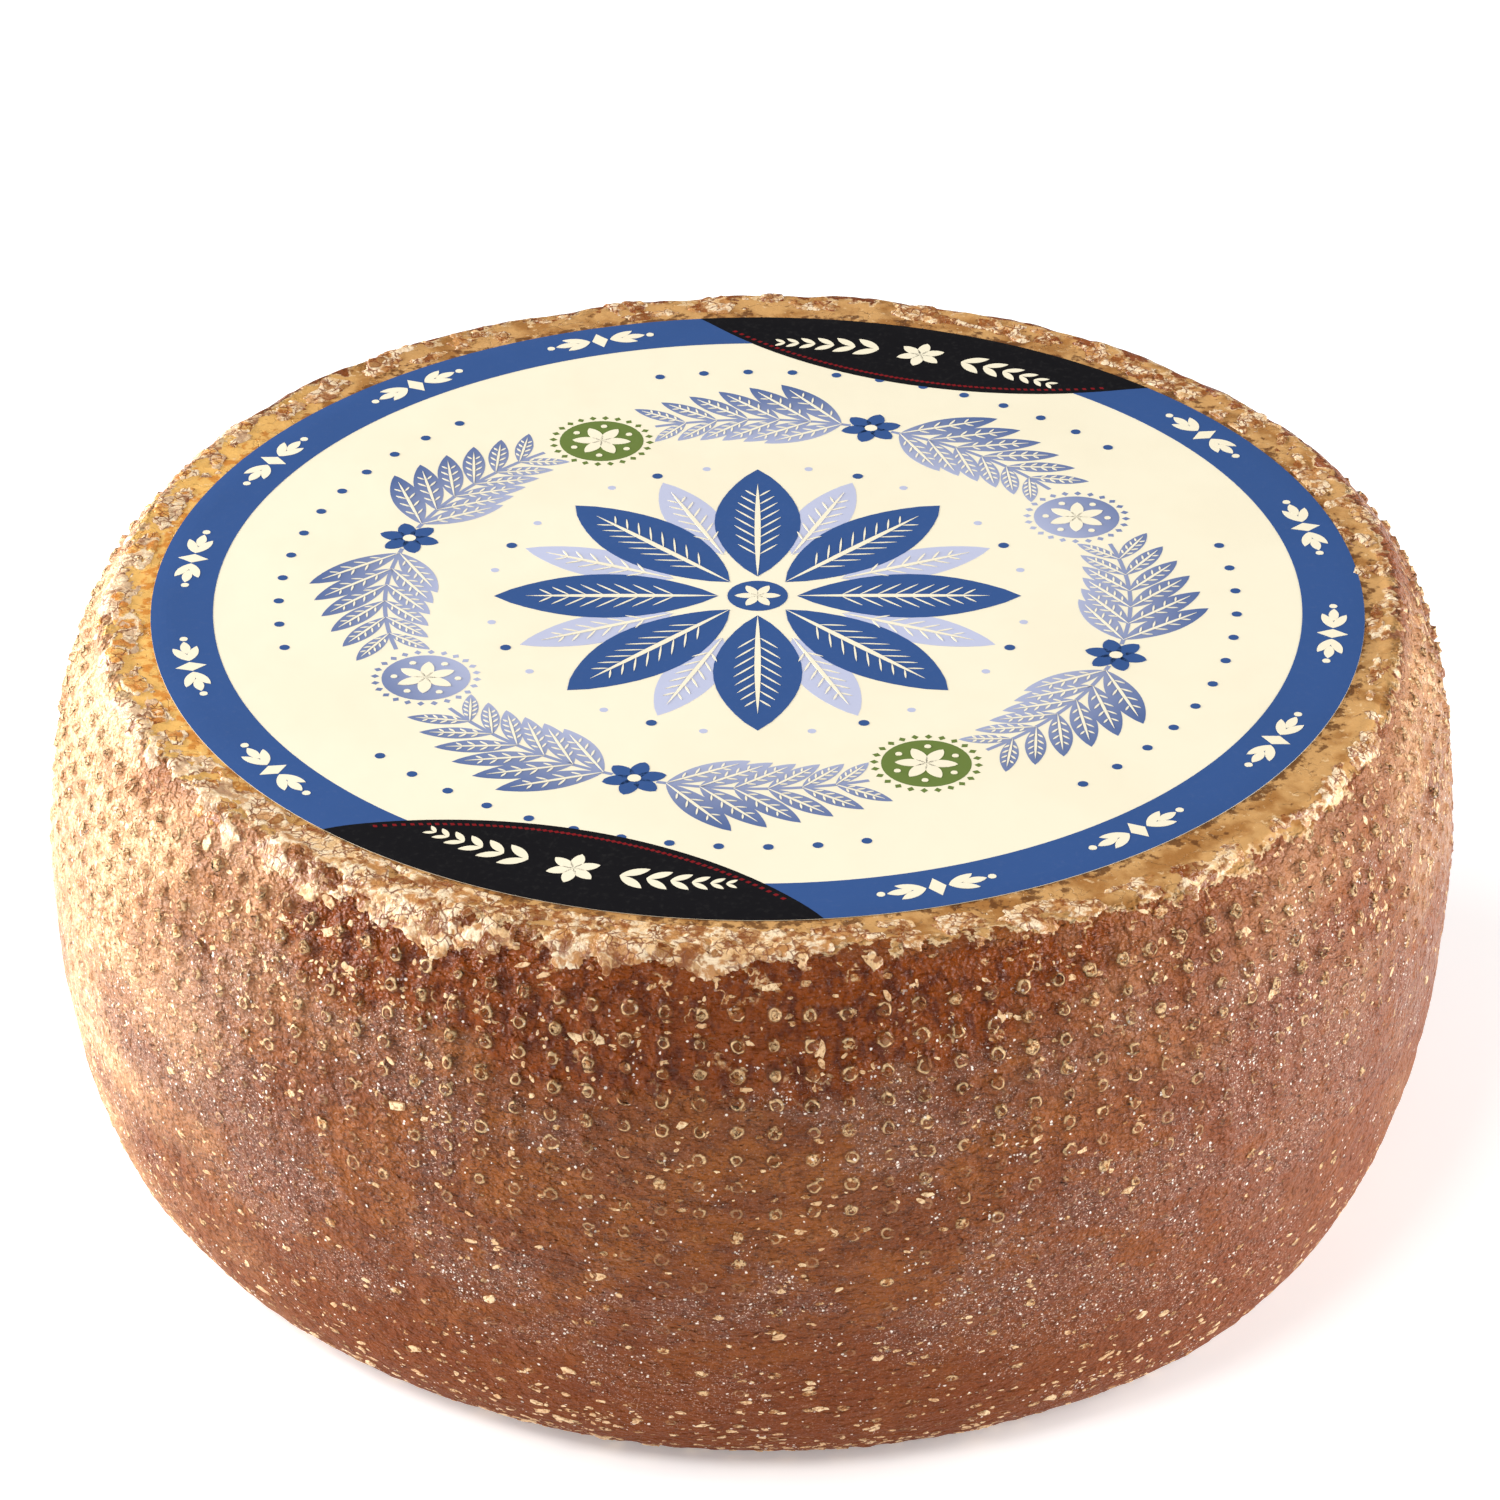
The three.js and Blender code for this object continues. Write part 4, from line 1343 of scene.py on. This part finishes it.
class CHEESE_OT_crust(bpy.types.Operator):
    """Makes the cracked crust that lies round the shoulder"""

    bl_idname = "cheese.crust"
    bl_label = "Crust"

    def execute(self, context):
        settings = context.scene.cheese_crust
        column = np.arange(CRUST_COLUMNS) * TURN / CRUST_COLUMNS
        angle, down = np.meshgrid(column, np.linspace(CRUST_TOP, CRUST_BASE, CRUST_RINGS))
        bent_down = down + 1.1 * MM * rough_waves(angle, down, (7 * MM, 5 * MM), 61, 2)
        bent_angle = angle + 1.7 * MM / MEAN_RADIUS * rough_waves(angle, down, (6 * MM, 6 * MM), 63, 2)
        size = (settings.plate_round, settings.plate_down)
        edge, tint = scattered_cells(bent_angle % TURN, bent_down, size, 65)
        cover = self.cover(angle, down) + PLATE_SHARE * (lattice_number(1000 * tint, 0, 66) - 0.5)
        shown = smooth(0.42, 0.56, cover)
        cracked = smooth(-0.2, 0.2, waves(angle, down, (12 * MM, 9 * MM), 68))
        crack = 0.8 * cracked * (1 - smooth(0.05 * MM, 0.35 * MM, edge))
        lip = 0.35 * np.exp(-(((cover - 0.6) / 0.07) ** 2))
        rough = 0.22 * rough_waves(angle, down, (3.2 * MM, 2.4 * MM), 70, 2)
        height = settings.thickness * (0.75 + 0.5 * tint - crack + lip + rough) * shown - CRUST_SINK * (1 - shown)
        height[0] = height[-1] = -2 * CRUST_SINK
        lift = height + leather(angle, down) + crust_ridge(angle, down)
        hidden_rings = np.linspace(CRUST_BASE, CRUST_TOP, CRUST_HIDDEN_RINGS + 2)[1:-1]
        hidden_down = hidden_rings[:, None] * np.ones_like(column)
        hidden_angle = np.broadcast_to(column, hidden_down.shape)
        hidden = on_wheel(hidden_angle, hidden_down, np.full(hidden_down.shape, -CRUST_DEPTH))
        points = np.concatenate([on_wheel(angle, down, lift), hidden]).reshape(-1, 3)
        rings = CRUST_RINGS + CRUST_HIDDEN_RINGS
        faces = closed_rings(rings, CRUST_COLUMNS)
        last = np.arange(CRUST_COLUMNS) + (rings - 1) * CRUST_COLUMNS
        first = np.arange(CRUST_COLUMNS)
        closing = np.stack([last, first, np.roll(first, -1), np.roll(last, -1)], axis=-1)
        mesh = new_mesh("crust", points, [np.concatenate([faces, closing])])
        unseen = np.zeros(hidden_down.size)
        give_numbers(mesh, "edge", "FLOAT", "POINT", np.append(edge.ravel() / MM, unseen))
        give_numbers(mesh, "tint", "FLOAT", "POINT", np.append(tint.ravel(), unseen))
        give_numbers(mesh, "cover", "FLOAT", "POINT", np.append(cover.ravel(), unseen))
        add_piece("crust", mesh, crust_material(), "rind")
        return {"FINISHED"}

    @staticmethod
    def cover(angle, down):
        """Where the crust lies: above 0.5 there is crust. It is a ragged band along the shoulder, widest at the front
        left and almost gone on the right, with tongues down the side."""
        strength = (
            0.14
            + 0.75 * near_angle(angle, -122, 50)
            + 0.2 * near_angle(angle, -80, 40)
            + 0.35 * near_angle(angle, 176, 44)
            + 0.15 * waves(angle, 0 * down, (45 * MM, 45 * MM), 72)
        )
        lower_edge = ledge_reach(angle) - 0.5 * MM + 8 * MM * strength
        lower_edge = lower_edge + 2.4 * MM * rough_waves(angle, 0 * down, (12 * MM, 12 * MM), 73, 3)
        bare_ledge = 3.2 * MM * near_angle(angle, 165, 70) + 2 * MM * near_angle(angle, 80, 50)
        bare_ledge = bare_ledge + 8 * MM * near_angle(angle, -34, 48)
        inside = np.minimum((lower_edge - down) / (5 * MM), (down - CRUST_TOP - bare_ledge) / (3 * MM))
        ragged = rough_waves(angle, down, (10 * MM, 7 * MM), 74, 4)
        streaks = smooth(0.25, 0.6, waves(angle, down, (3.4 * MM, 13 * MM), 79))
        streaks = streaks * smooth(2 * MM, 6 * MM, down) * (1 - smooth(11 * MM, 16 * MM, down))
        level = 0.5 + 0.9 * np.clip(inside, -1, 0.3) + 0.65 * ragged
        level = level + 0.5 * (strength - 0.75) + 0.45 * streaks * strength
        return np.where(down > CRUST_BASE - 1 * MM, 0, level)


FLAKE_CORNERS = 8
FLAKE_COUNT = 5600
FLAKE_TRIES = 60000
FLAKE_DEPTH = 0.3 * MM
FLAKE_RADIUS = 0.5  # millimetres, the middle one
FLAKE_SPREAD = 0.45  # of the radius's logarithm
FLAKE_RADII = (0.22, 1.6)
NUB_FLAKE_GROWTH = 1.2
FLAKE_STRETCH = (1.0, 2.6)
FLAKE_HEIGHT = (0.08, 0.26)  # shares of the radius


class CHEESE_OT_flakes(bpy.types.Operator):
    """Scatters pale flakes of dried crust over the rind"""

    bl_idname = "cheese.flakes"
    bl_label = "Flakes"

    def execute(self, context):
        settings = context.scene.cheese_rind
        nubs = NubPrint(settings.nubs_round, settings.pitch_down, settings.nub_radius, settings.nub_height)
        rng = np.random.default_rng(FLAKE_SEED)
        nub_angle, nub_down = nubs.places()
        angle, down = self.loose_places(rng, FLAKE_COUNT - int(nubs.flaked.sum()))
        angle = np.concatenate([nub_angle[nubs.flaked], angle])
        down = np.concatenate([nub_down[nubs.flaked], down])
        count = len(angle)
        radius = np.exp(rng.normal(np.log(FLAKE_RADIUS), FLAKE_SPREAD, count))
        radius = MM * np.clip(radius, *FLAKE_RADII)
        radius[: int(nubs.flaked.sum())] *= NUB_FLAKE_GROWTH
        stretch = rng.uniform(*FLAKE_STRETCH, count)
        upright = (down < 40 * MM) & (rng.random(count) < 0.5)
        heading = rng.normal(0, 0.35, count) + np.where(upright, QUARTER, 0)
        height = radius * rng.uniform(*FLAKE_HEIGHT, count)
        corner = np.arange(FLAKE_CORNERS) * TURN / FLAKE_CORNERS
        outline = radius[:, None] * rng.uniform(0.6, 1.25, (count, FLAKE_CORNERS))
        chipped = rng.uniform(0.3, 1.3, (count, FLAKE_CORNERS))
        long_way = outline * np.cos(corner) * np.sqrt(stretch)[:, None]
        short_way = outline * np.sin(corner) / np.sqrt(stretch)[:, None]
        turn_cosine, turn_sine = np.cos(heading)[:, None], np.sin(heading)[:, None]
        across = long_way * turn_cosine - short_way * turn_sine
        along = long_way * turn_sine + short_way * turn_cosine
        shares = (1.0, 0.82, 0.0)
        lifts = (-FLAKE_DEPTH + 0 * chipped, height[:, None] * chipped, height[:, None])
        rings = []
        for share, level in zip(shares, lifts):
            corners = FLAKE_CORNERS if share else 1
            at_down = down[:, None] + share * along[:, :corners]
            at_radius = np.interp(down, OUTLINE_DOWN, OUTLINE_RADIUS)[:, None]
            at_angle = angle[:, None] + share * across[:, :corners] / at_radius
            ground = leather(at_angle, at_down) + crust_ridge(at_angle, at_down)
            rings.append(on_wheel(at_angle, at_down, ground + level))
        under = on_wheel(angle[:, None], down[:, None], -FLAKE_DEPTH * np.ones((count, 1)))
        points = np.concatenate([*rings, under], axis=1)
        first = np.arange(count)[:, None, None] * points.shape[1]
        faces = (self.flake_faces()[None] + first).reshape(-1, 3)
        mesh = new_mesh("flakes", points.reshape(-1, 3), [faces], smooth_faces=False)
        per_flake = points.shape[1]
        top = np.concatenate([np.zeros(FLAKE_CORNERS), np.ones(FLAKE_CORNERS + 1), [0]])
        give_numbers(mesh, "tint", "FLOAT", "POINT", np.repeat(rng.random(count), per_flake))
        give_numbers(mesh, "top", "FLOAT", "POINT", np.tile(top, count))
        add_piece("flakes", mesh, flake_material(), "rind")
        return {"FINISHED"}

    @staticmethod
    def loose_places(rng, count):
        """Random places, kept as often as the flakes' density there says."""
        angle = rng.uniform(0, TURN, FLAKE_TRIES)
        down = rng.uniform(5 * MM, SIDE_LENGTH - 2.5 * MM, FLAKE_TRIES)
        kept = np.flatnonzero(rng.random(FLAKE_TRIES) < flake_density(angle, down))[:count]
        return angle[kept], down[kept]

    @staticmethod
    def flake_faces():
        """One flake's triangles: a wall round it, a top and an underside."""
        here = np.arange(FLAKE_CORNERS)
        following = (here + 1) % FLAKE_CORNERS
        rim, top, under = FLAKE_CORNERS, 2 * FLAKE_CORNERS, 2 * FLAKE_CORNERS + 1
        return np.concatenate([
            np.stack([here, rim + here, rim + following], axis=-1),
            np.stack([here, rim + following, following], axis=-1),
            np.stack([np.full(FLAKE_CORNERS, top), rim + following, rim + here], axis=-1),
            np.stack([np.full(FLAKE_CORNERS, under), here, following], axis=-1),
        ])


PAPER_COLUMNS = 240
PAPER_RADII = np.concatenate([np.linspace(0.04, 0.94, 24), np.linspace(0.95, 1, 11)])
PAPER_FOLD_ANGLE = np.radians(35)


class CHEESE_OT_label_paper(bpy.types.Operator):
    """Makes the round sheet of paper on the flat top"""

    bl_idname = "cheese.label_paper"
    bl_label = "Label paper"

    def execute(self, context):
        columns = PAPER_COLUMNS
        radius = LABEL_RADIUS * PAPER_RADII
        angle = np.arange(columns) * TURN / columns
        x, y = radius[:, None] * np.cos(angle), radius[:, None] * np.sin(angle)
        z = paper_height(x, y)
        top = np.stack([x, y, z], axis=-1)
        under = np.stack([x[-1], y[-1], np.full(columns, LABEL_UNDERSIDE)], axis=-1)[None]
        rings = len(radius) + 1
        points = np.concatenate([top, under]).reshape(-1, 3)
        middle = len(points)
        points = np.concatenate([points, [[0, 0, paper_height(0, 0)], [0, 0, LABEL_UNDERSIDE]]])
        fans = [
            closing_fan(0, columns, middle, downwards=False),
            closing_fan((rings - 1) * columns, columns, middle + 1, downwards=True),
        ]
        mesh = new_mesh("label_paper", points, [closed_rings(rings, columns), np.concatenate(fans)])
        mesh.set_sharp_from_angle(angle=PAPER_FOLD_ANGLE)
        paper = printed_material("label_paper", tuple(context.scene.cheese_label.paper))
        add_piece("label_paper", mesh, paper, "label_paper", "paper_label")
        return {"FINISHED"}


class CHEESE_OT_label_print(bpy.types.Operator):
    """Prints the label: a ring, two dark fields, a wreath, a rosette and badges, each ink a thin plate of its own"""

    bl_idname = "cheese.label_print"
    bl_label = "Label print"

    def execute(self, context):
        settings = context.scene.cheese_label
        level = settings.ink
        blue, dark = ring_and_fields(level)
        lavender, green = Slabs(level), Slabs(level)
        cream = Slabs(4 * level)
        red = red_stitches(4 * level)
        ring_ornaments(cream)
        field_ornaments(cream)
        rosette(blue, lavender, cream)
        wreath(lavender, blue, cream)
        between = WREATH_START + np.arange(WREATH_ARCS) * TURN / WREATH_ARCS
        roundels(lavender, cream, between[::2])
        roundels(green, cream, between[1::2])
        blue_colour = tuple(settings.blue)
        paper_colour = tuple(settings.paper)
        inks = (
            ("ink_blue", blue, printed_material("ink_blue", blue_colour)),
            ("ink_dark", dark, printed_material("ink_dark", tuple(settings.dark), specular=0.06)),
            ("ink_red", red, printed_material("ink_red", tuple(settings.red))),
            ("ink_green", green, printed_material("ink_green", tuple(settings.green))),
            ("ink_cream", cream, printed_material("ink_cream", paper_colour)),
            (
                "ink_lavender",
                lavender,
                printed_material("ink_lavender", blue_colour, tuple(settings.lavender), (0.4, 0.82)),
            ),
        )
        for name, slabs, material in inks:
            add_piece(name, slabs.mesh(name), material, name)
        return {"FINISHED"}


# The camera's place, from the photograph's perspective
CAMERA_DISTANCE = 1.5
CAMERA_ELEVATION = np.radians(31.74)
CAMERA_LENS = 169.2
SENSOR = 36
CAMERA_AIM_HEIGHT = WHEEL_HEIGHT / 2
CAMERA_SHIFT = (-0.0051, 0.0696)
FLOOR_REACH = 12
FLOOR_STEPS = 24


class CHEESE_OT_stage(bpy.types.Operator):
    """Makes the camera, the lights and the pale floor"""

    bl_idname = "cheese.stage"
    bl_label = "Stage"

    def execute(self, context):
        settings = context.scene.cheese_stage
        self.camera(context)
        self.floor(context, tuple(settings.floor), settings.glow)
        self.surroundings(context, settings.surroundings)
        aim = Vector((0, 0, WHEEL_HEIGHT / 2))
        self.light(context, "left_light", (-1.3, 0.3, 0.42), aim, (1.2, 0.8), settings.left)
        self.light(context, "front_light", (-0.45, -0.95, 1.4), aim, (0.5, 0.4), settings.front)
        self.light(context, "right_light", (1.25, -0.1, 0.45), aim, (0.9, 0.9), settings.right)
        self.light(context, "top_light", (0.0, 0.45, 1.5), aim, (1.6, 1.0), settings.above)
        context.scene.view_settings.view_transform = "Standard"
        return {"FINISHED"}

    @staticmethod
    def camera(context):
        """A camera in front of the wheel and above it, shifted as the photograph is framed."""
        data = bpy.data.cameras.new("camera")
        data.sensor_width = SENSOR
        data.lens = CAMERA_LENS
        data.shift_x, data.shift_y = CAMERA_SHIFT
        camera = bpy.data.objects.new("camera", data)
        back = Vector((0, -np.cos(CAMERA_ELEVATION), np.sin(CAMERA_ELEVATION)))
        camera.location = Vector((0, 0, CAMERA_AIM_HEIGHT)) + CAMERA_DISTANCE * back
        camera.rotation_euler = (-back).to_track_quat("-Z", "Y").to_euler()
        context.collection.objects.link(camera)
        context.scene.camera = camera

    @staticmethod
    def floor(context, colour, glow):
        """A flat square grid round the wheel."""
        side = np.linspace(-FLOOR_REACH / 2, FLOOR_REACH / 2, FLOOR_STEPS + 1)
        x, y = np.meshgrid(side, side)
        points = np.stack([x, y, np.zeros(x.shape)], axis=-1).reshape(-1, 3)
        row, column = np.mgrid[0:FLOOR_STEPS, 0:FLOOR_STEPS]
        first = (row * (FLOOR_STEPS + 1) + column).ravel()
        faces = np.stack([first, first + 1, first + FLOOR_STEPS + 2, first + FLOOR_STEPS + 1], axis=-1)
        mesh = new_mesh("floor", points, [faces], smooth_faces=False)
        finish = Finish("floor")
        mottle = finish.noise(finish.millimetres(), 400, 2.0)
        shade = finish.mix(finish.step(mottle, 0.3, 0.7, 0.0, 0.01), colour, paint(236, 236, 236))
        finish.put(finish.shader.inputs["Emission Color"], colour)
        finish.put(finish.shader.inputs["Emission Strength"], glow)
        mesh.materials.append(finish.finish(shade, 0.9, specular=0.0))
        floor = bpy.data.objects.new("floor", mesh)
        context.collection.objects.link(floor)

    @staticmethod
    def surroundings(context, strength):
        """An even white light from all round."""
        world = bpy.data.worlds.new("surroundings")
        world.use_nodes = True
        background = world.node_tree.nodes["Background"]
        background.inputs["Color"].default_value = (1, 1, 1, 1)
        background.inputs["Strength"].default_value = strength
        context.scene.world = world

    @staticmethod
    def light(context, name, place, aim, size, power):
        """A soft rectangular light that faces the wheel."""
        data = bpy.data.lights.new(name, "AREA")
        data.shape = "RECTANGLE"
        data.size, data.size_y = size
        data.energy = power
        light = bpy.data.objects.new(name, data)
        light.location = place
        light.rotation_euler = (aim - light.location).to_track_quat("-Z", "Y").to_euler()
        context.collection.objects.link(light)


class CHEESE_PT_parts(bpy.types.Panel):
    """Lists the parts of the wheel and its settings"""

    bl_idname = "CHEESE_PT_parts"
    bl_label = "Cheese wheel"
    bl_space_type = "VIEW_3D"
    bl_region_type = "UI"
    bl_category = "Cheese"

    def draw(self, context):
        for operator in OPERATORS:
            self.layout.operator(operator.bl_idname)
        for name in SETTINGS:
            group = getattr(context.scene, name)
            box = self.layout.box()
            for field in group.__annotations__:
                box.prop(group, field)


SETTINGS = {
    "cheese_rind": RindSettings,
    "cheese_crust": CrustSettings,
    "cheese_label": LabelSettings,
    "cheese_stage": StageSettings,
}
OPERATORS = (
    CHEESE_OT_stage,
    CHEESE_OT_rind,
    CHEESE_OT_crust,
    CHEESE_OT_flakes,
    CHEESE_OT_label_paper,
    CHEESE_OT_label_print,
)


def register():
    for group in (*SETTINGS.values(), *OPERATORS, CHEESE_PT_parts):
        bpy.utils.register_class(group)
    for name, group in SETTINGS.items():
        setattr(bpy.types.Scene, name, PointerProperty(type=group))


def unregister():
    for name in SETTINGS:
        delattr(bpy.types.Scene, name)
    for group in (CHEESE_PT_parts, *reversed(OPERATORS), *SETTINGS.values()):
        bpy.utils.unregister_class(group)


def main():
    register()
    bpy.ops.cheese.stage()
    bpy.ops.cheese.rind()
    bpy.ops.cheese.crust()
    bpy.ops.cheese.flakes()
    bpy.ops.cheese.label_paper()
    bpy.ops.cheese.label_print()


if __name__ == "__main__":
    main()
